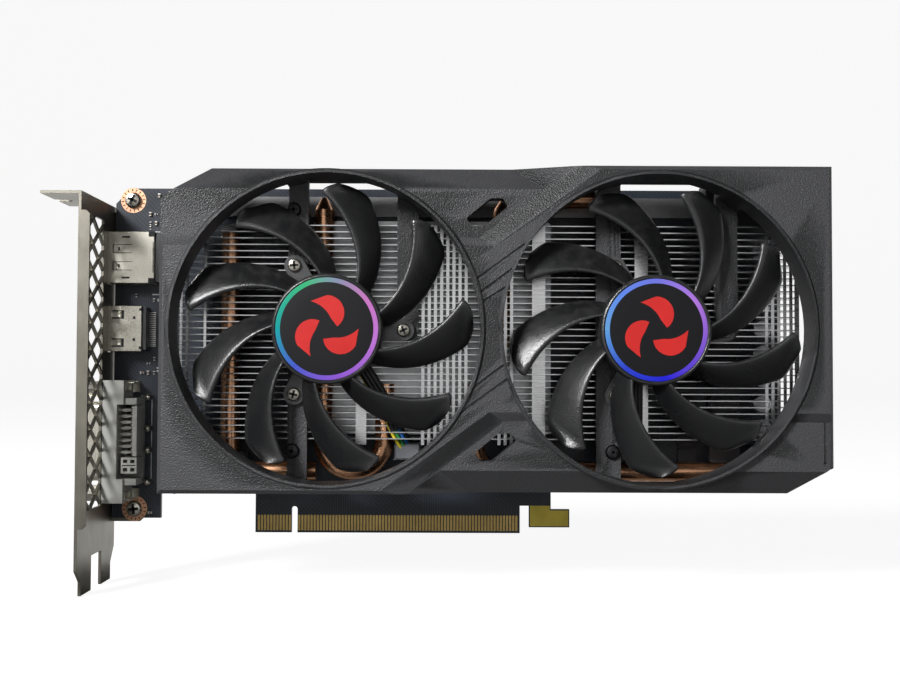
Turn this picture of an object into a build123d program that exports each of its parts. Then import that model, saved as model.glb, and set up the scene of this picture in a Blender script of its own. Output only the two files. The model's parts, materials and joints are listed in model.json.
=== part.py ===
from build123d import *
import math
import os

# Dual-fan graphics card with a two-slot bracket, as an assembly of separate pieces, in millimetres.
# +X runs along the card away from the bracket, +Z up from the card edge, and the fans face -Y.
# The origin is the centre of the key notch at the foot of the edge contacts, on the board's mid-plane.
# A "height" is a distance from the board's mid-plane towards the fans, that is, along -Y.

# Circuit board
board_thickness = 1.57
board_left = -58.8
board_right = 157.0
board_top = 111.15
board_bottom = 13.8
board_corner_cut = 5.0
foot_right = -43.1
foot_bottom = 4.5
tongue_left = -12.6
tongue_right = 72.6
hook_gap_right = 75.55
hook_gap_top = 8.8
hook_right = 88.6
hook_bottom = 1.9
hook_top = 7.7
hook_neck_right = 82.6
key_width = 1.9
key_top = 8.4
contact_pitch = 1.0
contact_width = 0.7
contact_foot = 0.7
contact_top = 5.7
contact_thickness = 0.06
contacts_before_key = 11
contacts_after_key = 71
face = board_thickness / 2

# Bracket, in sheet steel
bracket_inner = -59.2
sheet = 0.9
bracket_outer = bracket_inner - sheet
bracket_far = 3.2
bracket_near = -35.3
bracket_top = 105.0
tongue_tip = -15.0
tongue_width = 10.2
first_tongue_far = -0.7
second_tongue_far = -21.0
tab_reach = 12.3
mesh_column = 6.1
mesh_pitch = 8.1
mesh_strut = 0.9
mesh_first_column = -34.7
mesh_first_row = 5.4
mesh_near = -33.0
mesh_far = -12.2
mesh_low = 9.6
mesh_high = 99.2
bracket_screw_places = ((-51.6, 7.5), (-53.2, 107.2))

# Ports: widths run along Z, and heights start just off the board
shell_wall = 0.4
port_proud = 0.5
port_gap = 0.15
displayport_low = 79.7
displayport_high = 96.3
displayport_height = 7.6
displayport_rear = -44.5
hdmi_low = 58.0
hdmi_high = 72.6
hdmi_height = 6.5
hdmi_rear = -48.6
port_seat = face + 0.1
dvi_middle = 29.55
dvi_height = 6.6
dvi_jack_spacing = 33.0
jack_bore_radius = 1.2
jack_bore_depth = 5.0

# Shroud
shroud_left = -36.0
shroud_right = 162.6
shroud_bottom = 15.8
shroud_top = 113.0
shroud_face = 36.5
recess_face = 34.7
shroud_wall = 1.8
shroud_back = 12.0
shroud_end_back = 24.0
shroud_turn_x = 62.0
shroud_turn_z = 64.4
rim_face = 37.2
rim_width = 1.3
rim_slope = 0.55
duct_back = 25.5
strut_back = 18.2
strut_front = 21.0
strut_length = 120.0

# Fans
fan_z = 64.5
fan_centres = {"left": 13.1, "right": 111.2}
fan_nose_angle = {"left": 12.7, "right": -0.4}
opening_radius = 45.9
blade_count = 9
blade_tip_radius = 43.9
hub_radius = 16.6
hub_front = 32.0
hub_back = 24.0
hub_wall = 1.4
motor_screw_radius = 22.5
motor_screw_angles = (0, 119, 241)
shaft_radius = 1.0
bearing_clearance = 0.05
base_back = 21.0
base_front = 22.5

# Cooler
gpu_x = 44.0
gpu_z = 61.0
cooler_hole_spacing = 51.0
base_plate_back = 2.7
base_plate_front = 6.5
fin_front = 18.0
fin_left = -34.0
fin_right = 158.0
fin_low = 31.0
fin_pitch = 2.0
fin_count = 34
fin_thickness = 0.4
pipe_radius = 3.0
pipe_height = base_plate_front + pipe_radius + 0.05
pipe_leg_xs = (-19.5, 9.8, 29.3, 58.0, 66.0)
post_offset_x = -11.5
post_offset_z = 37.0

os.makedirs("parts", exist_ok=True)


def front(height):
    """Plane parallel to the board at a height: local x is +X, local y is +Z, and it faces the fans."""
    return Plane.XZ.offset(height)


def across(x):
    """Plane square to the card's length at a place along it: local x is +Y, local y is +Z."""
    return Plane.YZ.offset(x)


def nearest(shape, *places):
    """The corners of a sketch that lie nearest to the given local places."""
    return [shape.vertices().sort_by_distance((x, z, 0))[0] for x, z in places]


def on_circle(centre_x, centre_z, radius, degrees):
    """Place on a circle, counted from +X towards +Z."""
    turn = math.radians(degrees)
    return (centre_x + radius * math.cos(turn), centre_z + radius * math.sin(turn))


# ---------------------------------------------------------------- circuit board

with BuildPart() as circuit_board:
    with BuildSketch(front(-face)) as board_outline:
        with BuildLine():
            Polyline(
                (board_left, foot_bottom), (foot_right, foot_bottom), (foot_right, board_bottom),
                (tongue_left, board_bottom), (tongue_left, 0), (tongue_right, 0),
                (tongue_right, hook_gap_top), (hook_gap_right, hook_gap_top),
                (hook_gap_right, hook_bottom), (hook_right, hook_bottom), (hook_right, hook_top),
                (hook_neck_right, hook_top), (hook_neck_right, board_bottom),
                (board_right, board_bottom), (board_right, board_top),
                (board_left + board_corner_cut, board_top), (board_left, board_top - board_corner_cut),
                close=True,
            )
        make_face()
        fillet(nearest(board_outline.sketch, (tongue_right, hook_gap_top),
                       (hook_gap_right, hook_gap_top), (hook_right, hook_bottom),
                       (hook_right, hook_top), (hook_gap_right, hook_bottom)), radius=1.3)
        fillet(nearest(board_outline.sketch, (foot_right, foot_bottom)), radius=3)
        with Locations((0, (key_top - key_width / 2) / 2)):
            Rectangle(key_width, key_top - key_width / 2, mode=Mode.SUBTRACT)
        with Locations((0, key_top - key_width / 2)):
            Circle(key_width / 2, mode=Mode.SUBTRACT)
        with Locations((gpu_x, gpu_z)):
            with GridLocations(cooler_hole_spacing, cooler_hole_spacing, 2, 2):
                Circle(1.6, mode=Mode.SUBTRACT)
        with Locations(*bracket_screw_places):
            Circle(1.6, mode=Mode.SUBTRACT)
    extrude(amount=board_thickness)
circuit_board.part.label = "circuit_board"
export_step(circuit_board.part, "parts/circuit_board.step")

contact_xs = [-1.5 - contact_pitch * i for i in range(contacts_before_key)]
contact_xs += [1.5 + contact_pitch * i for i in range(contacts_after_key)]
with BuildPart() as edge_contacts:
    for height in (face, -face - contact_thickness):
        with BuildSketch(front(height)):
            with Locations(*[(x, (contact_foot + contact_top) / 2) for x in contact_xs]):
                Rectangle(contact_width, contact_top - contact_foot)
        extrude(amount=contact_thickness)
edge_contacts.part.label = "edge_contacts"
export_step(edge_contacts.part, "parts/edge_contacts.step")

# ---------------------------------------------------------------- slot bracket

lug_front = -face - sheet
with BuildPart() as slot_bracket:
    with BuildSketch(across(bracket_outer)) as bracket_plate:
        with BuildLine():
            Polyline(
                (bracket_far, bracket_top), (bracket_near, bracket_top), (bracket_near, -7.1),
                (second_tongue_far - tongue_width, -10.8), (second_tongue_far - tongue_width, tongue_tip),
                (second_tongue_far, tongue_tip), (second_tongue_far, -4.5),
                (first_tongue_far - tongue_width, -4.5), (first_tongue_far - tongue_width, tongue_tip),
                (first_tongue_far, tongue_tip), (first_tongue_far, -9.7), (bracket_far, -4.8),
                close=True,
            )
        make_face()
        fillet(nearest(bracket_plate.sketch, (second_tongue_far, -4.5),
                       (first_tongue_far - tongue_width, -4.5)), radius=4.8)
        chamfer(nearest(bracket_plate.sketch, (second_tongue_far - tongue_width, tongue_tip),
                        (second_tongue_far, tongue_tip), (first_tongue_far - tongue_width, tongue_tip),
                        (first_tongue_far, tongue_tip)), length=1.8)
    extrude(amount=sheet)
    with BuildSketch(Plane.XY.offset(bracket_top - sheet)) as bracket_tab:
        with BuildLine():
            Polyline(
                (bracket_inner, bracket_far), (bracket_inner, bracket_near),
                (bracket_inner - tab_reach, bracket_near), (bracket_inner - tab_reach, -8.3),
                (bracket_inner - 4.9, -8.3), (bracket_inner - 4.9, bracket_far),
                close=True,
            )
        make_face()
        fillet(nearest(bracket_tab.sketch, (bracket_inner - tab_reach, bracket_near),
                       (bracket_inner - tab_reach, -8.3)), radius=1.5)
        with Locations((bracket_inner - tab_reach, -20.3)):
            SlotOverall(9.5, 4.4, mode=Mode.SUBTRACT)
        with Locations((bracket_inner - 1.4, -25.2)):
            SlotOverall(3.6, 2.2, mode=Mode.SUBTRACT)
    extrude(amount=sheet)
    # Stiffening lip along the near edge
    with BuildSketch(front(-bracket_near - sheet)):
        with BuildLine():
            Polyline((bracket_inner - sheet / 2, 5.2), (bracket_inner + 1.4, 5.2),
                     (bracket_inner + 2.5, 6.4), (bracket_inner + 2.5, 98.1),
                     (bracket_inner + 1.4, 99.3), (bracket_inner - sheet / 2, 99.3), close=True)
        make_face()
    extrude(amount=sheet)
    # Lugs that lie behind the board and take its two screws
    with BuildSketch(front(lug_front)):
        with BuildLine():
            Polyline((bracket_inner - sheet / 2, 94.5), (-48.6, 94.5), (-48.6, 109.6), (-50.2, 110.8),
                     (-55.2, 110.8), (-57.6, 108.4), (-57.6, 103.6), (bracket_inner - sheet / 2, 103.6),
                     close=True)
        make_face()
        with BuildLine():
            Polyline((bracket_inner - sheet / 2, 3.2), (-50.2, 3.2), (-48.6, 4.8), (-48.6, 16.0),
                     (bracket_inner - sheet / 2, 16.0), close=True)
        make_face()
        with Locations(*bracket_screw_places):
            Circle(1.25, mode=Mode.SUBTRACT)
    extrude(amount=sheet)
    # Openings round the ports
    with BuildSketch(across(bracket_outer - 1)):
        for low, high, height in ((displayport_low, displayport_high, displayport_height),
                                  (hdmi_low, hdmi_high, hdmi_height)):
            with Locations((-(port_seat + height) / 2, (low + high) / 2)):
                Rectangle(height - port_seat + 2 * port_gap, high - low + 2 * port_gap)
        with Locations((-dvi_height, dvi_middle)):
            RectangleRounded(8.9, 25.3, 2.0)
        with Locations((-dvi_height, dvi_middle - dvi_jack_spacing / 2),
                       (-dvi_height, dvi_middle + dvi_jack_spacing / 2)):
            Circle(2.05)
    extrude(amount=sheet + 2, mode=Mode.SUBTRACT)
    # Diamond mesh over the second slot
    with BuildSketch(across(bracket_outer - 1)):
        half_y = mesh_column - mesh_strut / 2 * math.hypot(mesh_column, mesh_pitch / 2) / (mesh_pitch / 2)
        half_z = half_y / mesh_column * mesh_pitch / 2
        places = [(mesh_first_column + mesh_column * c, mesh_first_row + mesh_pitch * (r + 0.5 * (c % 2)))
                  for c in range(5) for r in range(12)]
        with Locations(*places):
            Polygon((half_y, 0), (0, half_z), (-half_y, 0), (0, -half_z))
        with Locations(((mesh_near + mesh_far) / 2, (mesh_low + mesh_high) / 2)):
            Rectangle(mesh_far - mesh_near, mesh_high - mesh_low, mode=Mode.INTERSECT)
    extrude(amount=sheet + 2, mode=Mode.SUBTRACT)
slot_bracket.part.label = "slot_bracket"
export_step(slot_bracket.part, "parts/slot_bracket.step")

with BuildPart() as bracket_screws:
    with BuildSketch(front(lug_front - 0.6)):
        with Locations(*bracket_screw_places):
            Circle(1.25)
    extrude(amount=face - lug_front + 0.6 + 0.2)
    with BuildSketch(front(face)):
        with Locations(*bracket_screw_places):
            Circle(2.6)
    extrude(amount=1.9)
    fillet(bracket_screws.edges().group_by(Axis.Y)[0], radius=0.7)
    with BuildSketch(front(face + 1.9)):
        with Locations(*bracket_screw_places):
            Rectangle(2.8, 0.6)
            Rectangle(0.6, 2.8)
    extrude(amount=-1.1, mode=Mode.SUBTRACT)
bracket_screws.part.label = "bracket_screws"
export_step(bracket_screws.part, "parts/bracket_screws.step")

# ---------------------------------------------------------------- ports

port_front = bracket_outer - port_proud


def port_shell(low, high, height, rear):
    """Folded metal can round a port, open at both ends, with one corner of its mouth cut off."""
    with BuildPart() as shell:
        with BuildSketch(across(port_front)) as outer:
            with Locations((-(port_seat + height) / 2, (low + high) / 2)):
                Rectangle(height - port_seat, high - low)
            chamfer(nearest(outer.sketch, (-height, low)), length=1.4)
        extrude(amount=rear - port_front)
        with BuildSketch(across(port_front)):
            add(outer.sketch_local)
            offset(amount=-shell_wall, kind=Kind.INTERSECTION)
        extrude(amount=rear - port_front, mode=Mode.SUBTRACT)
    return shell.part


def port_core(low, high, height, rear, foot):
    """Moulded body at the back of a port's can, with the tongue that carries its contacts."""
    tongue_height = (port_seat + height) / 2
    with BuildPart() as core:
        with BuildSketch(across(rear - 4.0)):
            with Locations((-(port_seat + height) / 2, (low + high) / 2)):
                Rectangle(height - port_seat - 2 * shell_wall - 0.1, high - low - 2 * shell_wall - 3.0)
        extrude(amount=4.0)
        with BuildSketch(across(rear)):
            with Locations((-(port_seat + height - 0.7) / 2, (low + high) / 2)):
                Rectangle(height - port_seat - 0.7, high - low - 0.9)
        extrude(amount=foot)
        with BuildSketch(across(port_front + 1.5)):
            with Locations((-tongue_height, (low + high) / 2)):
                Rectangle(1.3, high - low - 4.4)
        extrude(amount=rear - 4.0 - port_front - 1.5)
    return core.part


with BuildPart() as displayport_shell:
    add(port_shell(displayport_low, displayport_high, displayport_height, displayport_rear))
displayport_shell.part.label = "displayport_shell"
export_step(displayport_shell.part, "parts/displayport_shell.step")

with BuildPart() as displayport_core:
    add(port_core(displayport_low, displayport_high, displayport_height, displayport_rear, 1.5))
displayport_core.part.label = "displayport_core"
export_step(displayport_core.part, "parts/displayport_core.step")

with BuildPart() as hdmi_shell:
    add(port_shell(hdmi_low, hdmi_high, hdmi_height, hdmi_rear))
hdmi_shell.part.label = "hdmi_shell"
export_step(hdmi_shell.part, "parts/hdmi_shell.step")

with BuildPart() as hdmi_core:
    add(port_core(hdmi_low, hdmi_high, hdmi_height, hdmi_rear, 1.2))
hdmi_core.part.label = "hdmi_core"
export_step(hdmi_core.part, "parts/hdmi_core.step")

hdmi_pin_count = 19
with BuildPart() as hdmi_pins:
    with BuildSketch(front(face)):
        with Locations(((hdmi_rear + 1.2 - 45.4) / 2, (hdmi_low + hdmi_high) / 2)):
            with GridLocations(1, 0.6, 1, hdmi_pin_count):
                Rectangle(-45.4 - hdmi_rear - 1.2, 0.28)
    extrude(amount=0.25)
hdmi_pins.part.label = "hdmi_pins"
export_step(hdmi_pins.part, "parts/hdmi_pins.step")

dvi_flange_front = bracket_inner + 0.15
dvi_flange_rear = -52.4
dvi_flange_top = 12.3
dvi_block_rear = -48.5
dvi_arm_top = 11.4
dvi_arm_width = 2.0
dvi_floor_top = 3.0
dvi_window = 23.3
dvi_window_front = -54.5
dvi_pin_rows = 8
dvi_pin_pitch = 1.9
dvi_pin_middle = dvi_middle + 3.2
dvi_pin_leg_xs = (-51.95, -51.2, -50.45)
dvi_pin_heights = (4.2, 6.7, 9.2)
dvi_cross_middle = 22.0


def dvi_grid(size):
    """Square places of the contacts in the connector's mating face."""
    with Locations((-dvi_height, dvi_pin_middle)):
        with GridLocations(dvi_pin_pitch, dvi_pin_pitch, len(dvi_pin_heights), dvi_pin_rows):
            Rectangle(size, size)


with BuildPart() as dvi_housing:
    with BuildSketch(across(dvi_flange_front)) as flange:
        with Locations((-(port_seat + dvi_flange_top) / 2, dvi_middle)):
            Rectangle(dvi_flange_top - port_seat, 38.5)
        chamfer(nearest(flange.sketch, (-dvi_flange_top, dvi_middle + 19.25),
                        (-dvi_flange_top, dvi_middle - 19.25)), length=1.0)
    extrude(amount=dvi_flange_rear - dvi_flange_front)
    # Floor and two arms behind the flange
    with BuildSketch(across(dvi_flange_rear)):
        with Locations((-(port_seat + dvi_arm_top) / 2, dvi_middle)):
            Rectangle(dvi_arm_top - port_seat, dvi_window + 2 * dvi_arm_width)
    extrude(amount=dvi_block_rear - dvi_flange_rear)
    with BuildSketch(front(dvi_floor_top)):
        with Locations(((dvi_window_front + dvi_block_rear + 1) / 2, dvi_middle)):
            Rectangle(dvi_block_rear + 1 - dvi_window_front, dvi_window)
    extrude(amount=dvi_flange_top, mode=Mode.SUBTRACT)
    # Slot in the floor for the legs of the contacts
    with BuildSketch(front(0)):
        with Locations((-51.2, dvi_pin_middle)):
            Rectangle(2.3, dvi_pin_rows * dvi_pin_pitch - 0.6)
    extrude(amount=dvi_floor_top + 1, mode=Mode.SUBTRACT)
    # Comb behind the contacts, and the block of the four broad contacts
    with BuildSketch(front(port_seat)):
        with Locations((-49.2, dvi_pin_middle)):
            Rectangle(1.4, dvi_pin_rows * dvi_pin_pitch + 0.4)
    extrude(amount=10.0)
    with BuildSketch(front(port_seat)):
        with Locations((-51.0, dvi_cross_middle)):
            Rectangle(5.0, 5.1)
    extrude(amount=9.8)
    with BuildSketch(front(6.0)):
        with Locations((-51.0, dvi_cross_middle)):
            with GridLocations(2.3, 2.6, 2, 2):
                Rectangle(1.3, 1.1)
            Rectangle(4.2, 0.35)
    extrude(amount=6.0, mode=Mode.SUBTRACT)
    with BuildSketch(across(dvi_flange_front - 5.9)):
        with Locations((-dvi_height, dvi_middle)):
            RectangleRounded(7.3, 23.7, 1.4)
    extrude(amount=6.0)
    # Cross slot and the grid of contact holes in the mating face
    with BuildSketch(across(dvi_flange_front - 5.9)):
        dvi_grid(0.9)
        with Locations((-dvi_height, dvi_middle - 8.4)):
            Rectangle(0.8, 4.6)
            Rectangle(4.6, 0.8)
    extrude(amount=5.0, mode=Mode.SUBTRACT)
    with BuildSketch(across(dvi_flange_front)):
        with Locations((-dvi_height, dvi_middle - dvi_jack_spacing / 2),
                       (-dvi_height, dvi_middle + dvi_jack_spacing / 2)):
            Circle(1.9)
    extrude(amount=4.6, mode=Mode.SUBTRACT)
dvi_housing.part.label = "dvi_housing"
export_step(dvi_housing.part, "parts/dvi_housing.step")

with BuildPart() as dvi_shell:
    with BuildSketch(across(dvi_flange_front - 6.4)):
        with Locations((-dvi_height, dvi_middle)):
            RectangleRounded(8.5, 24.9, 1.9)
            RectangleRounded(7.5, 23.9, 1.5, mode=Mode.SUBTRACT)
    extrude(amount=6.4)
dvi_shell.part.label = "dvi_shell"
export_step(dvi_shell.part, "parts/dvi_shell.step")

with BuildPart() as dvi_contacts:
    pin_zs = [dvi_pin_middle + dvi_pin_pitch * (row - (dvi_pin_rows - 1) / 2) for row in range(dvi_pin_rows)]
    for leg_x, pin_height in zip(dvi_pin_leg_xs, dvi_pin_heights):
        with BuildSketch(across(dvi_window_front)):
            with Locations(*[(-pin_height, pin_z) for pin_z in pin_zs]):
                Rectangle(0.4, 0.8)
        extrude(amount=leg_x - dvi_window_front)
        with BuildSketch(front(face)):
            with Locations(*[(leg_x, pin_z) for pin_z in pin_zs]):
                Rectangle(0.4, 0.6)
        extrude(amount=pin_height + 0.2 - face)
dvi_contacts.part.label = "dvi_contacts"
export_step(dvi_contacts.part, "parts/dvi_contacts.step")

with BuildPart() as dvi_jack_nuts:
    jack_places = [(-dvi_height, dvi_middle - dvi_jack_spacing / 2),
                   (-dvi_height, dvi_middle + dvi_jack_spacing / 2)]
    with BuildSketch(across(bracket_outer - 5.4)):
        with Locations(*jack_places):
            RegularPolygon(2.45, 6, major_radius=False)
    extrude(amount=5.4)
    with BuildSketch(across(bracket_outer)):
        with Locations(*jack_places):
            Circle(1.85)
    extrude(amount=5.2)
    with BuildSketch(across(bracket_outer - 5.4)):
        with Locations(*jack_places):
            Circle(jack_bore_radius)
    extrude(amount=jack_bore_depth, mode=Mode.SUBTRACT)
dvi_jack_nuts.part.label = "dvi_jack_nuts"
export_step(dvi_jack_nuts.part, "parts/dvi_jack_nuts.step")

with BuildPart() as dvi_board_pegs:
    with BuildSketch(front(face)):
        with Locations(*[(-47.1, z) for z in (16.2, 26.4, 33.4, 43.4)]):
            Circle(1.15)
    extrude(amount=3.4)
    fillet(dvi_board_pegs.edges().group_by(Axis.Y)[0], radius=0.4)
dvi_board_pegs.part.label = "dvi_board_pegs"
export_step(dvi_board_pegs.part, "parts/dvi_board_pegs.step")

# ---------------------------------------------------------------- power socket

socket_x = 141.5
socket_low = 97.5
socket_height = 10.9
with BuildPart() as power_socket:
    with BuildSketch(front(face + 0.1)):
        with Locations((socket_x, (socket_low + board_top + 0.6) / 2)):
            Rectangle(21.6, board_top + 0.6 - socket_low)
    extrude(amount=socket_height - face - 0.1)
    with BuildSketch(Plane.XY.offset(board_top + 0.6)):
        with Locations((socket_x, -(socket_height + face) / 2)):
            with GridLocations(4.8, 4.6, 4, 2):
                Rectangle(3.7, 3.7)
    extrude(amount=-10.0, mode=Mode.SUBTRACT)
power_socket.part.label = "power_socket"
export_step(power_socket.part, "parts/power_socket.step")

with BuildPart() as power_pins:
    with BuildSketch(Plane.XY.offset(board_top - 9.4)):
        with Locations((socket_x, -(socket_height + face) / 2)):
            with GridLocations(4.8, 4.6, 4, 2):
                Rectangle(1.1, 1.1)
    extrude(amount=7.4)
power_pins.part.label = "power_pins"
export_step(power_pins.part, "parts/power_pins.step")

# ---------------------------------------------------------------- parts on the board

package_front = face + 1.2
with BuildPart() as gpu_package:
    with BuildSketch(front(face)):
        with Locations((gpu_x, gpu_z)):
            RectangleRounded(38, 38, 1)
    extrude(amount=package_front - face)
gpu_package.part.label = "gpu_package"
export_step(gpu_package.part, "parts/gpu_package.step")

with BuildPart() as gpu_die:
    with BuildSketch(front(package_front)):
        with Locations((gpu_x, gpu_z)):
            Rectangle(17, 20)
    extrude(amount=base_plate_back - package_front)
gpu_die.part.label = "gpu_die"
export_step(gpu_die.part, "parts/gpu_die.step")

memory_places = [(14.5, 46), (14.5, 62), (14.5, 78), (27, 94), (44, 94), (61, 94), (74.5, 70), (74.5, 52)]
memory_front = face + 1.1
with BuildPart() as memory_chips:
    with BuildSketch(front(face)):
        with Locations(*memory_places):
            Rectangle(11.6, 12.4)
    extrude(amount=memory_front - face)
memory_chips.part.label = "memory_chips"
export_step(memory_chips.part, "parts/memory_chips.step")

with BuildPart() as memory_pads:
    with BuildSketch(front(memory_front)):
        with Locations(*memory_places):
            Rectangle(10.4, 11.2)
    extrude(amount=base_plate_back - memory_front)
memory_pads.part.label = "memory_pads"
export_step(memory_pads.part, "parts/memory_pads.step")

with BuildPart() as inductors:
    with BuildSketch(front(face)):
        with Locations((138.0, 58.0)):
            with GridLocations(1, 12.0, 1, 6):
                RectangleRounded(9.6, 9.6, 1.2)
    extrude(amount=4.0)
    chamfer(inductors.edges().group_by(Axis.Y)[0], length=0.5)
inductors.part.label = "inductors"
export_step(inductors.part, "parts/inductors.step")

with BuildPart() as mosfets:
    with BuildSketch(front(face)):
        with Locations((126.5, 58.0)):
            with GridLocations(1, 6.0, 1, 12):
                Rectangle(6.0, 5.0)
    extrude(amount=1.0)
mosfets.part.label = "mosfets"
export_step(mosfets.part, "parts/mosfets.step")

with BuildPart() as capacitors:
    with BuildSketch(front(face)):
        with Locations((149.8, 58.0)):
            with GridLocations(1, 8.0, 1, 9):
                Circle(2.9)
    extrude(amount=5.0)
    fillet(capacitors.edges().group_by(Axis.Y)[0], radius=0.4)
capacitors.part.label = "capacitors"
export_step(capacitors.part, "parts/capacitors.step")

header_places = {"left": (36.6, 27.2), "right": (107.0, 27.2)}
header_front = face + 5.6
with BuildPart() as fan_headers:
    with BuildSketch(front(face)):
        with Locations(*header_places.values()):
            Rectangle(8.2, 5.6)
    extrude(amount=header_front - face)
    with BuildSketch(front(header_front)):
        with Locations(*header_places.values()):
            Rectangle(7.0, 4.2)
    extrude(amount=-4.2, mode=Mode.SUBTRACT)
fan_headers.part.label = "fan_headers"
export_step(fan_headers.part, "parts/fan_headers.step")

with BuildPart() as bios_chip:
    with BuildSketch(front(face)):
        with Locations((-18.0, 24.0)):
            Rectangle(5.3, 4.0)
    extrude(amount=1.6)
bios_chip.part.label = "bios_chip"
export_step(bios_chip.part, "parts/bios_chip.step")

with BuildPart() as clock_crystal:
    with BuildSketch(front(face)):
        with Locations((-22.0, 96.5)):
            RectangleRounded(5.0, 3.2, 0.8)
    extrude(amount=0.9)
clock_crystal.part.label = "clock_crystal"
export_step(clock_crystal.part, "parts/clock_crystal.step")

# ---------------------------------------------------------------- cooler

post_places = [(centre + post_offset_x, fan_z + side * post_offset_z)
               for centre in fan_centres.values() for side in (-1, 1)]
bar_low = 102.0
bar_high = 108.4
with BuildPart() as board_stiffener:
    with BuildSketch(front(face)):
        with Locations((50.0, (bar_low + bar_high) / 2)):
            Rectangle(160.0, bar_high - bar_low)
        with Locations(*[place for place in post_places if place[1] > fan_z]):
            Circle(3.2, mode=Mode.SUBTRACT)
    extrude(amount=1.4)
board_stiffener.part.label = "board_stiffener"
export_step(board_stiffener.part, "parts/board_stiffener.step")

with BuildPart() as heatsink_base:
    with BuildSketch(front(base_plate_back)):
        with Locations((gpu_x, 66.0)):
            RectangleRounded(76.0, 68.0, 1.5)
    extrude(amount=base_plate_front - base_plate_back)
    with BuildSketch(front(base_plate_back)):
        with Locations((gpu_x, gpu_z)):
            with GridLocations(cooler_hole_spacing, cooler_hole_spacing, 2, 2):
                Circle(1.2)
    extrude(amount=2.8, mode=Mode.SUBTRACT)
heatsink_base.part.label = "heatsink_base"
export_step(heatsink_base.part, "parts/heatsink_base.step")

run_low = 20.6
run_high = 107.0
pipe_bend = 7.5
left_leg, tip_leg, loop_leg, low_leg, high_leg = pipe_leg_xs
loop_radius = (loop_leg - tip_leg) / 2
loop_low = run_low + loop_radius
tip_start = 103.0
pipe_tip = 107.0
pipe_plane = front(pipe_height)
with BuildPart() as heat_pipes:
    # Loop that turns below the fins and ends in a pointed tip above them
    with BuildLine(pipe_plane) as loop:
        Line((loop_leg, 48.0), (loop_leg, loop_low))
        ThreePointArc((loop_leg, loop_low), (tip_leg + loop_radius, run_low), (tip_leg, loop_low))
        Line((tip_leg, loop_low), (tip_leg, tip_start))
    with BuildSketch(Plane(origin=loop.line @ 0, z_dir=loop.line % 0)):
        Circle(pipe_radius)
    sweep(path=loop.line)
    with BuildSketch(Plane.XY.offset(tip_start)):
        with Locations((tip_leg, -pipe_height)):
            Circle(pipe_radius)
    with BuildSketch(Plane.XY.offset(pipe_tip)):
        with Locations((tip_leg, -pipe_height)):
            Circle(0.9)
    loft()
    # The other pipes bend once and run along the card, clear of the fins
    for leg_x, leg_start, run_z, run_end in ((left_leg, 95.0, run_low, 7.8),
                                             (low_leg, 48.0, run_low, 142.0),
                                             (high_leg, 60.0, run_high, 96.0)):
        with BuildLine(pipe_plane) as run:
            FilletPolyline((leg_x, leg_start), (leg_x, run_z), (run_end, run_z), radius=pipe_bend)
        with BuildSketch(Plane(origin=run.line @ 0, z_dir=run.line % 0)):
            Circle(pipe_radius)
        sweep(path=run.line)
heat_pipes.part.label = "heat_pipes"
export_step(heat_pipes.part, "parts/heat_pipes.step")

fin_back = base_plate_front + 0.02
with BuildPart() as fin_stack:
    for index in range(fin_count):
        with BuildSketch(Plane.XY.offset(fin_low + fin_pitch * index)):
            with Locations(((fin_left + fin_right) / 2, -(fin_back + fin_front) / 2)):
                Rectangle(fin_right - fin_left, fin_front - fin_back)
            with Locations(*[(x, -pipe_height) for x in pipe_leg_xs]):
                Circle(pipe_radius + 0.08, mode=Mode.SUBTRACT)
        extrude(amount=fin_thickness)
fin_stack.part.label = "fin_stack"
export_step(fin_stack.part, "parts/fin_stack.step")

with BuildPart() as cooler_posts:
    with BuildSketch(front(face)):
        with Locations(*post_places):
            Circle(2.5)
    extrude(amount=strut_back - face)
    with BuildSketch(front(strut_back)):
        with Locations(*post_places):
            Circle(1.2)
    extrude(amount=-6.0, mode=Mode.SUBTRACT)
cooler_posts.part.label = "cooler_posts"
export_step(cooler_posts.part, "parts/cooler_posts.step")

# ---------------------------------------------------------------- retention plate behind the board

plate_back = -face - 2.0
with BuildPart() as retention_plate:
    with BuildSketch(front(plate_back - 1.5)):
        with Locations((gpu_x, gpu_z)):
            Rectangle(72, 13, rotation=45)
            Rectangle(72, 13, rotation=-45)
            RectangleRounded(30, 30, 4)
            Circle(8, mode=Mode.SUBTRACT)
            with GridLocations(cooler_hole_spacing, cooler_hole_spacing, 2, 2):
                Circle(1.6, mode=Mode.SUBTRACT)
    extrude(amount=1.5)
    with BuildSketch(front(plate_back)):
        with Locations((gpu_x, gpu_z)):
            with GridLocations(cooler_hole_spacing, cooler_hole_spacing, 2, 2):
                Circle(3.0)
                Circle(1.6, mode=Mode.SUBTRACT)
    extrude(amount=-plate_back - face)
retention_plate.part.label = "retention_plate"
export_step(retention_plate.part, "parts/retention_plate.step")

spring_back = plate_back - 1.5 - 4.0
with BuildPart() as retention_screws:
    with Locations(front(0)):
        with Locations((gpu_x, gpu_z)):
            with GridLocations(cooler_hole_spacing, cooler_hole_spacing, 2, 2):
                with Locations((0, 0, (spring_back + base_plate_back + 2.6) / 2)):
                    Cylinder(1.2, base_plate_back + 2.6 - spring_back)
                with Locations((0, 0, spring_back - 0.6)):
                    Cylinder(3.2, 1.2)
    with BuildSketch(front(spring_back - 1.2)):
        with Locations((gpu_x, gpu_z)):
            with GridLocations(cooler_hole_spacing, cooler_hole_spacing, 2, 2):
                Rectangle(3.6, 0.7)
                Rectangle(0.7, 3.6)
    extrude(amount=0.8, mode=Mode.SUBTRACT)
retention_screws.part.label = "retention_screws"
export_step(retention_screws.part, "parts/retention_screws.step")

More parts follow.
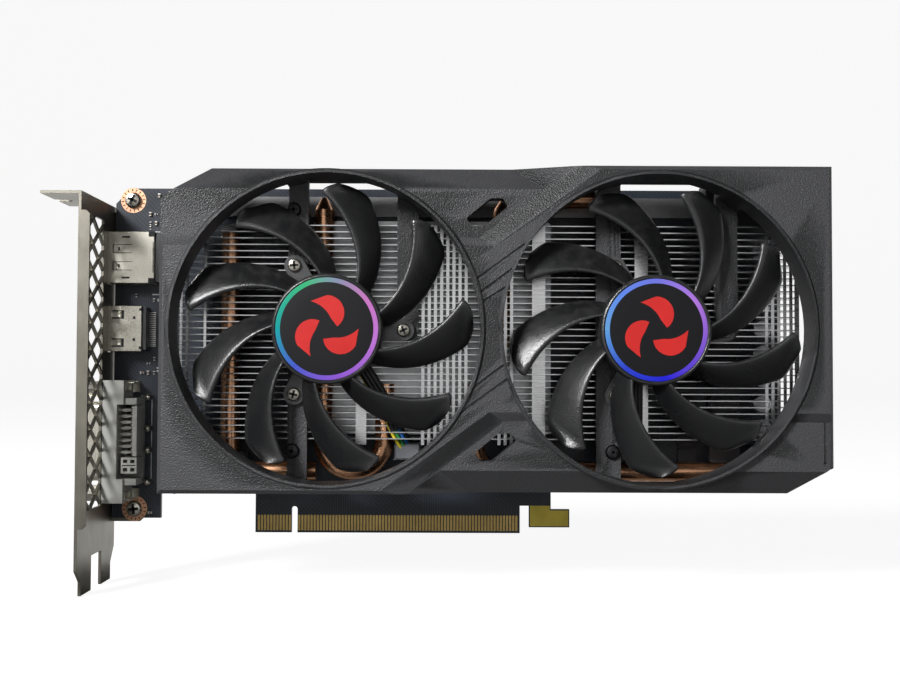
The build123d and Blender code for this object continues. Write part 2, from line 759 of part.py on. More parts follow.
with BuildPart() as retention_springs:
    with BuildSketch(front(spring_back)):
        with Locations((gpu_x, gpu_z)):
            with GridLocations(cooler_hole_spacing, cooler_hole_spacing, 2, 2):
                Circle(2.6)
                Circle(1.8, mode=Mode.SUBTRACT)
    extrude(amount=4.0)
retention_springs.part.label = "retention_springs"
export_step(retention_springs.part, "parts/retention_springs.step")

# ---------------------------------------------------------------- shroud

left_corner_x = -22.3
left_corner_z = 103.0
right_corner_x = 151.0
right_corner_z = 24.0
bevel_top = 106.0
bevel_height = 28.0
band_top = 91.5
band_bottom = 88.8
collar_depth = 5.5
collar_wall = 1.0


def shroud_outline(inset):
    """Outline of the shroud in plan, moved inwards by an inset."""
    with BuildSketch() as outline:
        with BuildLine():
            Polyline(
                (shroud_left, shroud_bottom), (right_corner_x, shroud_bottom),
                (shroud_right, right_corner_z), (shroud_right, shroud_top),
                (left_corner_x, shroud_top), (shroud_left, left_corner_z),
                close=True,
            )
        make_face()
        fillet(nearest(outline.sketch, (shroud_right, right_corner_z),
                       (right_corner_x, shroud_bottom)), radius=4.0)
        fillet(nearest(outline.sketch, (shroud_left, shroud_bottom), (shroud_right, shroud_top)),
               radius=2.0)
        if inset:
            offset(amount=-inset, kind=Kind.INTERSECTION)
    return outline.sketch


def turned(places):
    """Places turned half a turn about the middle of the shroud."""
    return [(2 * shroud_turn_x - x, 2 * shroud_turn_z - z) for x, z in places]


def same(places):
    return places


recess_outer = [(shroud_left - 2, band_bottom), (62.7, band_bottom), (97.6, shroud_top + 1.2),
                (shroud_left - 2, shroud_top + 1.2)]
recess_inner = [(shroud_left - 2, band_top), (58.2, band_top), (88.1, shroud_top + 1.2),
                (shroud_left - 2, shroud_top + 1.2)]
recess_backing = [(shroud_left, band_bottom - 2.2), (61.5, band_bottom - 2.2), (96.0, shroud_top),
                  (shroud_left, shroud_top)]
slot_outline = [(54.4, 97.3), (61.5, 103.2), (65.3, 103.2), (66.8, 100.8), (60.0, 95.2), (56.2, 94.9)]
groove_lines = [((57.3, 79.0), (72.8, 90.2)), ((58.3, 74.9), (68.4, 82.4)), ((58.7, 72.0), (67.1, 77.4))]
strut_spans = {"left": (-13.0, -7.0), "right": (-16.5, -9.0)}
short_strut = (20.4, 27.0)

with BuildPart() as shroud:
    with BuildSketch(front(shroud_back)):
        add(shroud_outline(0))
    extrude(amount=shroud_face - shroud_back)
    chamfer(shroud.faces().sort_by(Axis.Y)[0].edges(), length=1.2)
    with BuildSketch(front(shroud_back)):
        add(shroud_outline(shroud_wall))
    extrude(amount=shroud_face - shroud_wall - shroud_back, mode=Mode.SUBTRACT)
    # Backing under the two sunk panels and under their long outer bevels
    for place_all, side in ((same, 1), (turned, -1)):
        with BuildSketch(front(recess_face - shroud_wall)):
            with BuildLine():
                Polyline(*place_all(recess_backing), close=True)
            make_face()
        extrude(amount=shroud_wall + 0.2)
        bevel_section = [(bevel_top - 1.5, recess_face), (bevel_top - 1.5, recess_face - shroud_wall),
                         (bevel_top - 0.4, recess_face - shroud_wall),
                         (shroud_top - shroud_wall, bevel_height - 0.5),
                         (shroud_top, bevel_height - 0.5), (shroud_top, recess_face)]
        low_end = shroud_left if side > 0 else 2 * shroud_turn_x - 94.0
        with BuildSketch(across(low_end)):
            with BuildLine():
                if side > 0:
                    Polyline(*[(-h, z) for z, h in bevel_section], close=True)
                else:
                    Polyline(*[(-h, 2 * shroud_turn_z - z) for z, h in bevel_section], close=True)
            make_face()
        extrude(amount=94.0 - shroud_left)
    with BuildSketch(front(shroud_back)):
        add(shroud_outline(0))
    extrude(amount=shroud_face - shroud_back, mode=Mode.INTERSECT)
    # Sunk panels with sloping sides, then the bevel beyond each panel's outer edge
    for place_all, side in ((same, 1), (turned, -1)):
        with BuildSketch(front(shroud_face)):
            with BuildLine():
                Polyline(*place_all(recess_outer), close=True)
            make_face()
        with BuildSketch(front(recess_face)):
            with BuildLine():
                Polyline(*place_all(recess_inner), close=True)
            make_face()
        loft(ruled=True, mode=Mode.SUBTRACT)
        end_edge = [(77.1, bevel_top, recess_face), (67.1, shroud_top + 1.05, bevel_height - 1.0),
                    (88.1, shroud_top + 1.05, recess_face + 0.01)]
        far_x = shroud_left - 2
        start_edge = [(far_x, z, h) for x, z, h in end_edge]
        if side < 0:
            end_edge = [(2 * shroud_turn_x - x, 2 * shroud_turn_z - z, h) for x, z, h in end_edge]
            start_edge = [(2 * shroud_turn_x - x, 2 * shroud_turn_z - z, h) for x, z, h in start_edge]
        wires = [Wire.make_polygon([Vector(x, -h, z) for x, z, h in edge])
                 for edge in (start_edge, end_edge)]
        add(Solid.make_loft(wires, ruled=True), mode=Mode.SUBTRACT)
    # The two end walls stop short of the side walls' depth
    with BuildSketch(across(shroud_left - 1)):
        with Locations((-(shroud_back + shroud_end_back) / 2, (shroud_top + shroud_bottom) / 2)):
            Rectangle(shroud_end_back - shroud_back + 0.01, shroud_top - shroud_bottom - 2 * 8.2)
    extrude(amount=shroud_right - shroud_left + 2, mode=Mode.SUBTRACT)
    # Fan ducts with a raised rim
    for centre in fan_centres.values():
        with BuildSketch(front(duct_back)):
            with Locations((centre, fan_z)):
                Circle(opening_radius + rim_width)
        extrude(amount=rim_face - rim_slope - duct_back)
        with BuildSketch(front(rim_face - rim_slope)):
            with Locations((centre, fan_z)):
                Circle(opening_radius + rim_width)
        extrude(amount=rim_slope, taper=45)
        with BuildSketch(front(shroud_back)):
            with Locations((centre, fan_z)):
                Circle(opening_radius)
        extrude(amount=rim_face - shroud_back + 1, mode=Mode.SUBTRACT)
    # Struts across each duct carry the fan motor
    for name, centre in fan_centres.items():
        with BuildSketch(front(strut_back)):
            with Locations((centre, fan_z)):
                Circle(opening_radius + rim_width / 2)
            strut_left, strut_right = strut_spans[name]
            with Locations((centre + (strut_left + strut_right) / 2, fan_z)):
                Rectangle(strut_right - strut_left, strut_length, mode=Mode.INTERSECT)
        extrude(amount=strut_front - strut_back)
        with BuildSketch(front(strut_back)):
            with Locations((centre, fan_z)):
                Circle(opening_radius + rim_width / 2)
            with Locations((centre + sum(short_strut) / 2, fan_z + 27)):
                SlotOverall(60, short_strut[1] - short_strut[0], rotation=90, mode=Mode.INTERSECT)
        extrude(amount=strut_front - strut_back)
        # The duct wall runs deeper where a strut meets it
        with BuildSketch(front(strut_back)):
            with Locations((centre, fan_z)):
                Circle(opening_radius + rim_width)
            with Locations((centre + (strut_left + strut_right) / 2, fan_z)):
                Rectangle(strut_right - strut_left, strut_length, mode=Mode.INTERSECT)
            with Locations((centre, fan_z)):
                Circle(opening_radius, mode=Mode.SUBTRACT)
        extrude(amount=duct_back + rim_slope - strut_back)
        with BuildSketch(front(strut_back)):
            with Locations((centre, fan_z)):
                Circle(opening_radius + rim_width)
            with Locations((centre + sum(short_strut) / 2, fan_z + 40)):
                Rectangle(short_strut[1] - short_strut[0], 20, mode=Mode.INTERSECT)
            with Locations((centre, fan_z)):
                Circle(opening_radius, mode=Mode.SUBTRACT)
        extrude(amount=duct_back + rim_slope - strut_back)
    # Long holes and short grooves that run with the sloping sides
    for place_all in (same, turned):
        with BuildSketch(front(recess_face - collar_depth)) as long_hole:
            with BuildLine():
                Polyline(*place_all(slot_outline), close=True)
            make_face()
            fillet(long_hole.vertices(), radius=0.9)
        with BuildSketch(front(recess_face - collar_depth)):
            add(long_hole.sketch)
            offset(amount=collar_wall)
        extrude(amount=collar_depth - shroud_wall / 2)
        extrude(long_hole.sketch, amount=collar_depth + 2, mode=Mode.SUBTRACT)
    for start, end in groove_lines + [tuple(turned(pair)) for pair in groove_lines[:2]]:
        length = math.dist(start, end)
        angle = math.degrees(math.atan2(end[1] - start[1], end[0] - start[0]))
        with BuildSketch(front(shroud_face - 0.5)):
            with Locations(((start[0] + end[0]) / 2, (start[1] + end[1]) / 2)):
                SlotOverall(length, 0.8, rotation=angle)
        extrude(amount=1, mode=Mode.SUBTRACT)
    # Holes for the motor screws and for the screws into the cooler's posts
    with BuildSketch(front(strut_back - 0.5)):
        with Locations(*post_places):
            Circle(1.3)
        with Locations(*[on_circle(centre, fan_z, motor_screw_radius, angle)
                         for centre in fan_centres.values() for angle in motor_screw_angles]):
            Circle(1.1)
    extrude(amount=strut_front - strut_back + 1, mode=Mode.SUBTRACT)
shroud.part.label = "shroud"
export_step(shroud.part, "parts/shroud.step")

with BuildPart() as shroud_screws:
    with Locations(front(0)):
        with Locations(*[(x, z, 0) for x, z in post_places]):
            with Locations((0, 0, (strut_front + strut_back - 5.0) / 2)):
                Cylinder(1.2, strut_front - strut_back + 5.0)
            with Locations((0, 0, strut_front + 0.7)):
                Cylinder(2.3, 1.4)
    with BuildSketch(front(strut_front + 1.4)):
        with Locations(*post_places):
            Rectangle(2.6, 0.55)
            Rectangle(0.55, 2.6)
    extrude(amount=-0.8, mode=Mode.SUBTRACT)
shroud_screws.part.label = "shroud_screws"
export_step(shroud_screws.part, "parts/shroud_screws.step")

# ---------------------------------------------------------------- fans

hub_inner_radius = hub_radius - hub_wall
cup_wall = 0.6
holder_radius = 4.5
bearing_radius = 3.0
stator_radius = 12.9
magnet_inner = stator_radius + 0.5
magnet_outer = hub_inner_radius - cup_wall
blade_front = 31.6
blade_back = 25.2
blade_thickness = 1.5
blade_sections = (14.8, 20.0, 26.0, 32.0, 38.0, 42.2, blade_tip_radius)
motor_floor = base_front + 0.6


def blade_edges(radius):
    """Angles, from the blade's nose, of its front edge and its trailing edge at a radius."""
    lead = -1.365 * (41.0 - radius) if radius < 41.0 else -0.9 * (radius - 41.0)
    trail = -18.5 - 1.24 * (42.7 - radius) if radius < 42.7 else -18.5 + 1.5 * (radius - 42.7)
    return lead, trail


def blade_profile(radius, nose_angle):
    """Four corners of a blade's section on a plane square to the radius through its middle."""
    lead, trail = blade_edges(radius)
    middle = math.radians(nose_angle + (lead + trail) / 2)
    half_width = radius * math.sin(math.radians((lead - trail) / 2))
    outward = Vector(math.cos(middle), 0, math.sin(middle))
    along = Vector(-math.sin(middle), 0, math.cos(middle))
    rise = blade_front - blade_back - blade_thickness
    slim = min(1.0, (blade_tip_radius + 3.0 - radius) / 6.0)
    corners = [(half_width, 0.0), (half_width, blade_thickness), (0.1 * half_width, 0.62 * rise * slim
               + blade_thickness), (-half_width, rise * slim + blade_thickness),
               (-half_width, rise * slim + 0.4 * blade_thickness), (0.1 * half_width, 0.62 * rise * slim)]
    centre = outward * (radius * math.cos(math.radians((lead - trail) / 2)))
    return [centre + along * side - Vector(0, 1, 0) * (blade_front - drop) for side, drop in corners]


for name, centre in fan_centres.items():
    with BuildPart() as fan_impeller:
        with BuildSketch(front(hub_back)):
            Circle(hub_radius)
        extrude(amount=hub_front - hub_back)
        fillet(fan_impeller.edges().group_by(Axis.Y)[0], radius=1.0)
        for blade in range(blade_count):
            nose = fan_nose_angle[name] + blade * 360 / blade_count
            sections = [Wire.make_polygon(blade_profile(radius, nose)) for radius in blade_sections]
            add(Solid.make_loft(sections, ruled=True))
        with BuildSketch(front(hub_back)):
            Circle(hub_inner_radius)
        extrude(amount=hub_front - hub_wall - hub_back, mode=Mode.SUBTRACT)
    with BuildPart() as placed_impeller:
        add(fan_impeller.part.moved(Location((centre, 0, fan_z))))
    placed_impeller.part.label = f"{name}_fan_impeller"
    export_step(placed_impeller.part, f"parts/{name}_fan_impeller.step")

    with BuildPart() as fan_label:
        with BuildSketch(front(hub_front)):
            with Locations((centre, fan_z)):
                Circle(15.4)
        extrude(amount=0.15)
    fan_label.part.label = f"{name}_fan_label"
    export_step(fan_label.part, f"parts/{name}_fan_label.step")

    with BuildPart() as fan_rotor_cup:
        with BuildSketch(front(hub_back + 0.3)):
            with Locations((centre, fan_z)):
                Circle(hub_inner_radius)
        extrude(amount=hub_front - hub_wall - hub_back - 0.3)
        with BuildSketch(front(hub_back + 0.3)):
            with Locations((centre, fan_z)):
                Circle(hub_inner_radius - cup_wall)
        extrude(amount=hub_front - hub_wall - hub_back - 0.3 - cup_wall, mode=Mode.SUBTRACT)
        with BuildSketch(front(hub_back + 0.3)):
            with Locations((centre, fan_z)):
                Circle(shaft_radius)
        extrude(amount=hub_front - hub_back, mode=Mode.SUBTRACT)
    fan_rotor_cup.part.label = f"{name}_fan_rotor_cup"
    export_step(fan_rotor_cup.part, f"parts/{name}_fan_rotor_cup.step")

    with BuildPart() as fan_magnet:
        with BuildSketch(front(hub_back + 0.6)):
            with Locations((centre, fan_z)):
                Circle(magnet_outer)
                Circle(magnet_inner, mode=Mode.SUBTRACT)
        extrude(amount=4.8)
    fan_magnet.part.label = f"{name}_fan_magnet"
    export_step(fan_magnet.part, f"parts/{name}_fan_magnet.step")

    with BuildPart() as fan_shaft:
        with BuildSketch(front(motor_floor)):
            with Locations((centre, fan_z)):
                Circle(shaft_radius)
        extrude(amount=hub_front - hub_wall - motor_floor)
    fan_shaft.part.label = f"{name}_fan_shaft"
    export_step(fan_shaft.part, f"parts/{name}_fan_shaft.step")

    with BuildPart() as fan_base:
        with BuildSketch(front(base_back)):
            with Locations((centre, fan_z)):
                Circle(15.6)
                for angle in motor_screw_angles:
                    with Locations(on_circle(0, 0, motor_screw_radius / 2, angle)):
                        SlotOverall(motor_screw_radius + 6.4, 6.4, rotation=angle)
            with Locations(*[on_circle(centre, fan_z, motor_screw_radius, angle)
                             for angle in motor_screw_angles]):
                Circle(1.1, mode=Mode.SUBTRACT)
        extrude(amount=base_front - base_back)
        with BuildSketch(front(base_front)):
            with Locations((centre, fan_z)):
                Circle(holder_radius)
        extrude(amount=29.4 - base_front)
        with BuildSketch(front(motor_floor - 0.4)):
            with Locations((centre, fan_z)):
                Circle(bearing_radius)
        extrude(amount=8, mode=Mode.SUBTRACT)
    fan_base.part.label = f"{name}_fan_base"
    export_step(fan_base.part, f"parts/{name}_fan_base.step")

    with BuildPart() as fan_bearing:
        with BuildSketch(front(motor_floor)):
            with Locations((centre, fan_z)):
                Circle(bearing_radius)
                Circle(shaft_radius + bearing_clearance, mode=Mode.SUBTRACT)
        extrude(amount=29.2 - motor_floor)
    fan_bearing.part.label = f"{name}_fan_bearing"
    export_step(fan_bearing.part, f"parts/{name}_fan_bearing.step")

    with BuildPart() as fan_stator_core:
        with BuildSketch(front(24.8)):
            with Locations((centre, fan_z)):
                Circle(stator_radius)
                Circle(11.6, mode=Mode.SUBTRACT)
                with PolarLocations(12.4, 4, start_angle=45):
                    Rectangle(4, 2.4, mode=Mode.SUBTRACT)
                Rectangle(24, 2.8)
                Rectangle(2.8, 24)
                Circle(6.6)
                Circle(holder_radius, mode=Mode.SUBTRACT)
        extrude(amount=3.2)
    fan_stator_core.part.label = f"{name}_fan_stator_core"
    export_step(fan_stator_core.part, f"parts/{name}_fan_stator_core.step")

    with BuildPart() as fan_coils:
        with BuildSketch(front(23.6)):
            with Locations((centre, fan_z)):
                with PolarLocations(9.0, 4):
                    Rectangle(4.2, 5.4)
        extrude(amount=5.6)
        with BuildSketch(front(24.8)):
            with Locations((centre, fan_z)):
                Rectangle(24, 2.8)
                Rectangle(2.8, 24)
        extrude(amount=3.2, mode=Mode.SUBTRACT)
    fan_coils.part.label = f"{name}_fan_coils"
    export_step(fan_coils.part, f"parts/{name}_fan_coils.step")

with BuildPart() as fan_circuits:
    with BuildSketch(front(base_front)):
        with Locations(*[(centre, fan_z) for centre in fan_centres.values()]):
            Circle(13.5)
            Circle(holder_radius, mode=Mode.SUBTRACT)
    extrude(amount=0.8)
fan_circuits.part.label = "fan_circuits"
export_step(fan_circuits.part, "parts/fan_circuits.step")

motor_screw_places = [on_circle(centre, fan_z, motor_screw_radius, angle)
                      for centre in fan_centres.values() for angle in motor_screw_angles]
with BuildPart() as fan_screws:
    with BuildSketch(front(strut_back)):
        with Locations(*motor_screw_places):
            Circle(1.1)
    extrude(amount=base_front - strut_back)
    with BuildSketch(front(base_front)):
        with Locations(*motor_screw_places):
            Circle(2.1)
    extrude(amount=1.3)
    with BuildSketch(front(base_front + 1.3)):
        with Locations(*motor_screw_places):
            Rectangle(2.5, 0.5)
            Rectangle(0.5, 2.5)
    extrude(amount=-0.7, mode=Mode.SUBTRACT)
fan_screws.part.label = "fan_screws"
export_step(fan_screws.part, "parts/fan_screws.step")

# ---------------------------------------------------------------- fan leads and plugs

plug_front = 15.0
wire_radius = 0.55
wire_spacing = 1.35
lead_height = strut_back + wire_radius + 0.4
for name, (plug_x, plug_z) in header_places.items():
    with BuildPart() as fan_plug:
        with BuildSketch(front(header_front - 3.8)):
            with Locations((plug_x, plug_z)):
                Rectangle(6.8, 4.0)
        extrude(amount=3.8)
        with BuildSketch(front(header_front)):
            with Locations((plug_x, plug_z)):
                Rectangle(8.0, 5.4)
        extrude(amount=plug_front - header_front)
    fan_plug.part.label = f"{name}_fan_plug"
    export_step(fan_plug.part, f"parts/{name}_fan_plug.step")

# Each lead drops from the back of its motor base, runs in front of the fins and turns down into its plug
lead_routes = {
    "left": [(22.6, 53.6), (33.2, 40.5), (36.6, 30.8), header_places["left"]],
    "right": [(107.0, 51.2), header_places["right"]],
}


def beside(route, shift):
    """A route in plan moved sideways by a shift, with its corners mitred."""
    headings = [Vector(end[0] - start[0], end[1] - start[1], 0).normalized()
                for start, end in zip(route, route[1:])]
    sides = [Vector(-heading.Y, heading.X, 0) for heading in headings]
    moved = []
    for index, (x, z) in enumerate(route):
        before = sides[max(index - 1, 0)]
        after = sides[min(index, len(sides) - 1)]
        mitre = (before + after) * (shift / (1 + before.dot(after)))
        moved.append((x + mitre.X, z + mitre.Y))
    return moved


for name, route in lead_routes.items():
    with BuildPart() as fan_leads:
        for wire in range(4):
            flat = beside(route, (wire - 1.5) * wire_spacing)
            points = [(flat[0][0], -base_back, flat[0][1])]
            points += [(x, -lead_height, z) for x, z in flat]
            points += [(flat[-1][0], -plug_front, flat[-1][1])]
            with BuildLine() as path:
                FilletPolyline(*points, radius=[0.9] + [1.6] * (len(points) - 3))
            with BuildSketch(Plane(origin=path.line @ 0, z_dir=path.line % 0)):
                Circle(wire_radius)
            sweep(path=path.line)
    fan_leads.part.label = f"{name}_fan_leads"
    export_step(fan_leads.part, f"parts/{name}_fan_leads.step")
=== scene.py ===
import json
import math
import random

import bmesh
import bpy
from mathutils import Matrix, Vector


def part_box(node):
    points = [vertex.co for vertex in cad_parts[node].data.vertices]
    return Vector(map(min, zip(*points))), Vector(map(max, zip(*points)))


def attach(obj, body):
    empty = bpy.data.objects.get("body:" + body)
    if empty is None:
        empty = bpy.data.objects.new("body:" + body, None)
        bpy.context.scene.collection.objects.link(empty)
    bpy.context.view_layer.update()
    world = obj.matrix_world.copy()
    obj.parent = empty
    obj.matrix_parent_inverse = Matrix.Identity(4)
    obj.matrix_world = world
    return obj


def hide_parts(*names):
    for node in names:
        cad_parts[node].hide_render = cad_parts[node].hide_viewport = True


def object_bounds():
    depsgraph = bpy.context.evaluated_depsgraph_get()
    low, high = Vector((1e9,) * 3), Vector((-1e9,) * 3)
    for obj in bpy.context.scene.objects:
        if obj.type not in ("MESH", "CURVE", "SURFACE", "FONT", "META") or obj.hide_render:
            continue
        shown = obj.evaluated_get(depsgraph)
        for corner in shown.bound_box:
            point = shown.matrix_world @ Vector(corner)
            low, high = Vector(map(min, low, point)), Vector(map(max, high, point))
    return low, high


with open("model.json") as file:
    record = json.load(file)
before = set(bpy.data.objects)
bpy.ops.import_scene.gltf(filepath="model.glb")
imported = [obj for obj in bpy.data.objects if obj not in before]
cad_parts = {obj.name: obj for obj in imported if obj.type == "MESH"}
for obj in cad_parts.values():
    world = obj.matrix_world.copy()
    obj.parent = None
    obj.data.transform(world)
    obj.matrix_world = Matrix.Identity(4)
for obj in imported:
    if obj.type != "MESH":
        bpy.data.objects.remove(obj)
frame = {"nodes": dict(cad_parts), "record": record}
cad_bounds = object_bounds()
nodes = frame["nodes"]

# Looks of a dual-fan graphics card. Sizes are in millimetres until a mesh is finished, then in metres.
# A height is a distance from the board's mid-plane towards the fans, which is -Y.
MM = 0.001
SEED = 7


def place(x, z, height):
    return Vector((x, -height, z))


def low_high(node):
    """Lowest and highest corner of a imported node, in millimetres."""
    low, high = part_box(node)
    return Vector(low) / MM, Vector(high) / MM


def heights(node):
    """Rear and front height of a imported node."""
    low, high = low_high(node)
    return -high.y, -low.y


def middle(node):
    low, high = low_high(node)
    return (low + high) / 2


# ------------------------------------------------------------------ camera, stage and light

LENS = 46.548
CAMERA_PLACE = Vector((48.74, -377.85, 50.60)) * MM
CAMERA_YAW = 0.003
CAMERA_PITCH = 0.033
CAMERA_ROLL = 0.004
FLOOR_DROP = 0.0004
PAPER_GLOW = 0.92
PAPER_MIRRORED = 0.8
FAR_PAPER = 0.03


def add_camera():
    camera = bpy.data.cameras.new("camera")
    camera.sensor_width = 36
    camera.lens = LENS
    camera.clip_start = 0.01
    holder = bpy.data.objects.new("camera", camera)
    bpy.context.scene.collection.objects.link(holder)
    level = Matrix.Rotation(math.pi / 2 + CAMERA_PITCH, 4, "X")
    yaw = Matrix.Rotation(-CAMERA_YAW, 4, "Z")
    roll = Matrix.Rotation(CAMERA_ROLL, 4, "Z")
    holder.matrix_world = Matrix.Translation(CAMERA_PLACE) @ yaw @ level @ roll
    bpy.context.scene.camera = holder


def add_softbox(name, spot, target, size, power, tint=(1, 1, 1)):
    lamp = bpy.data.lights.new(name, "AREA")
    lamp.shape = "RECTANGLE"
    lamp.size = size[0]
    lamp.size_y = size[1]
    lamp.energy = power
    lamp.color = tint
    holder = bpy.data.objects.new(name, lamp)
    bpy.context.scene.collection.objects.link(holder)
    aim = Vector(target) - Vector(spot)
    holder.matrix_world = Matrix.Translation(spot) @ aim.to_track_quat("-Z", "Y").to_matrix().to_4x4()


def add_stage():
    """Pale floor that sweeps up into a backdrop well behind the card."""
    low = cad_bounds[0][2] - FLOOR_DROP
    reach = 6.0
    bend = 2.0
    half_width = 14.0
    profile = [(-reach, low), (reach - bend, low)]
    for step in range(1, 13):
        turn = math.pi / 2 * step / 12
        profile.append((reach - bend + bend * math.sin(turn), low + bend * (1 - math.cos(turn))))
    profile.append((reach, low + 9.0))
    mesh = bpy.data.meshes.new("floor")
    points = [(x, y, z) for y, z in profile for x in (-half_width, half_width)]
    faces = [(2 * i, 2 * i + 1, 2 * i + 3, 2 * i + 2) for i in range(len(profile) - 1)]
    mesh.from_pydata(points, [], faces)
    mesh.polygons.foreach_set("use_smooth", [True] * len(faces))
    floor = bpy.data.objects.new("floor", mesh)
    bpy.context.scene.collection.objects.link(floor)
    paint, shader = plain_finish("studio_paper", (0.30, 0.30, 0.30), 0.9)
    shader.inputs["Specular IOR Level"].default_value = 0.0
    shader.inputs["Emission Color"].default_value = (1, 1, 1, 1)
    # The paper glows for the eye, and only its far half shows in the metal's reflections
    tree = paint.node_tree
    path = add_node(tree, "ShaderNodeLightPath")
    spot = add_node(tree, "ShaderNodeTexCoord")
    split = add_node(tree, "ShaderNodeSeparateXYZ")
    link(tree, spot.outputs["Object"], split.inputs["Vector"])
    far_half = calc(tree, "GREATER_THAN", split.outputs["Y"], FAR_PAPER)
    mirrored = calc(tree, "MULTIPLY", path.outputs["Is Glossy Ray"], far_half)
    seen = calc(tree, "ADD", calc(tree, "MULTIPLY", path.outputs["Is Camera Ray"], PAPER_GLOW),
                calc(tree, "MULTIPLY", mirrored, PAPER_MIRRORED))
    link(tree, seen, shader.inputs["Emission Strength"])
    mesh.materials.append(paint)


WORLD_FAR = 0.03
WORLD_LEVEL = 0.13


def add_world():
    """Room that is lighter at eye level than above or below it, so that slanting black panels stay deep."""
    world = bpy.data.worlds.new("studio")
    bpy.context.scene.world = world
    world.use_nodes = True
    tree = world.node_tree
    backdrop = tree.nodes["Background"]
    spot = add_node(tree, "ShaderNodeTexCoord")
    split = add_node(tree, "ShaderNodeSeparateXYZ")
    link(tree, spot.outputs["Generated"], split.inputs["Vector"])
    ramp = add_node(tree, "ShaderNodeValToRGB")
    stops = ramp.color_ramp.elements
    stops[0].position = 0.1
    stops[0].color = (WORLD_LEVEL, WORLD_LEVEL, WORLD_LEVEL, 1)
    stops[1].position = 0.42
    stops[1].color = (WORLD_FAR, WORLD_FAR, WORLD_FAR, 1)
    steep = add_node(tree, "ShaderNodeMath", operation="ABSOLUTE")
    link(tree, split.outputs["Z"], steep.inputs[0])
    link(tree, steep.outputs["Value"], ramp.inputs["Fac"])
    link(tree, ramp.outputs["Color"], backdrop.inputs["Color"])
    backdrop.inputs["Strength"].default_value = 1.0


# ------------------------------------------------------------------ shader groups

def new_group(name, inputs, outputs):
    """Empty shader group with named float inputs and outputs."""
    group = bpy.data.node_groups.new(name, "ShaderNodeTree")
    for label, value in inputs.items():
        socket = group.interface.new_socket(label, in_out="INPUT", socket_type="NodeSocketFloat")
        socket.default_value = value
    for label in outputs:
        group.interface.new_socket(label, in_out="OUTPUT", socket_type="NodeSocketFloat")
    return group, group.nodes.new("NodeGroupInput"), group.nodes.new("NodeGroupOutput")


def add_node(tree, kind, **values):
    """New node with its settings and, by socket name, its unlinked inputs."""
    node = tree.nodes.new(kind)
    for label, value in values.items():
        if label in node.inputs:
            node.inputs[label].default_value = value
        else:
            setattr(node, label, value)
    return node


def link(tree, source, target):
    tree.links.new(source, target)


def calc(tree, operation, first, second):
    """Math node on two sockets or numbers."""
    node = tree.nodes.new("ShaderNodeMath")
    node.operation = operation
    for index, value in enumerate((first, second)):
        if isinstance(value, (int, float)):
            node.inputs[index].default_value = value
        else:
            tree.links.new(value, node.inputs[index])
    return node.outputs[0]


def grain_group():
    """Fine pebbled grain of moulded plastic, and a slow unevenness."""
    group, given, result = new_group("moulded_grain", {"Grain": 2600.0, "Patches": 60.0},
                                     ("Height", "Patch"))
    spot = add_node(group, "ShaderNodeTexCoord")
    cells = add_node(group, "ShaderNodeTexVoronoi", feature="SMOOTH_F1")
    cells.inputs["Smoothness"].default_value = 0.6
    speck = add_node(group, "ShaderNodeTexNoise")
    speck.inputs["Detail"].default_value = 3.0
    patch = add_node(group, "ShaderNodeTexNoise")
    patch.inputs["Detail"].default_value = 4.0
    for texture, scale in ((cells, "Grain"), (speck, "Grain"), (patch, "Patches")):
        link(group, spot.outputs["Object"], texture.inputs["Vector"])
        link(group, given.outputs[scale], texture.inputs["Scale"])
    link(group, calc(group, "ADD", calc(group, "MULTIPLY", cells.outputs["Distance"], 0.7),
                     calc(group, "MULTIPLY", speck.outputs["Fac"], 0.5)), result.inputs["Height"])
    link(group, patch.outputs["Fac"], result.inputs["Patch"])
    return group


def wear_group():
    """Mask of rubbed outer edges, broken up by noise."""
    group, given, result = new_group("rubbed_edges", {"Start": 0.52, "Scale": 900.0}, ("Mask",))
    shape = add_node(group, "ShaderNodeNewGeometry")
    spot = add_node(group, "ShaderNodeTexCoord")
    noise = add_node(group, "ShaderNodeTexNoise")
    noise.inputs["Detail"].default_value = 5.0
    link(group, spot.outputs["Object"], noise.inputs["Vector"])
    link(group, given.outputs["Scale"], noise.inputs["Scale"])
    bent = calc(group, "ADD", shape.outputs["Pointiness"],
                calc(group, "MULTIPLY", calc(group, "SUBTRACT", noise.outputs["Fac"], 0.5), 0.06))
    over = calc(group, "MULTIPLY", calc(group, "SUBTRACT", bent, given.outputs["Start"]), 14.0)
    limit = add_node(group, "ShaderNodeClamp")
    link(group, over, limit.inputs["Value"])
    link(group, limit.outputs["Result"], result.inputs["Mask"])
    return group


def dust_group():
    """Mask of dust that settles on faces that look up."""
    group, given, result = new_group("settled_dust", {"Amount": 0.3, "Scale": 350.0}, ("Mask",))
    shape = add_node(group, "ShaderNodeNewGeometry")
    spot = add_node(group, "ShaderNodeTexCoord")
    noise = add_node(group, "ShaderNodeTexNoise")
    noise.inputs["Detail"].default_value = 6.0
    link(group, spot.outputs["Object"], noise.inputs["Vector"])
    link(group, given.outputs["Scale"], noise.inputs["Scale"])
    split = add_node(group, "ShaderNodeSeparateXYZ")
    link(group, shape.outputs["Normal"], split.inputs["Vector"])
    upward = calc(group, "MAXIMUM", split.outputs["Z"], 0.0)
    speckle = calc(group, "MAXIMUM", calc(group, "SUBTRACT", noise.outputs["Fac"], 0.42), 0.0)
    link(group, calc(group, "MULTIPLY", calc(group, "MULTIPLY", upward, speckle), given.outputs["Amount"]),
         result.inputs["Mask"])
    return group


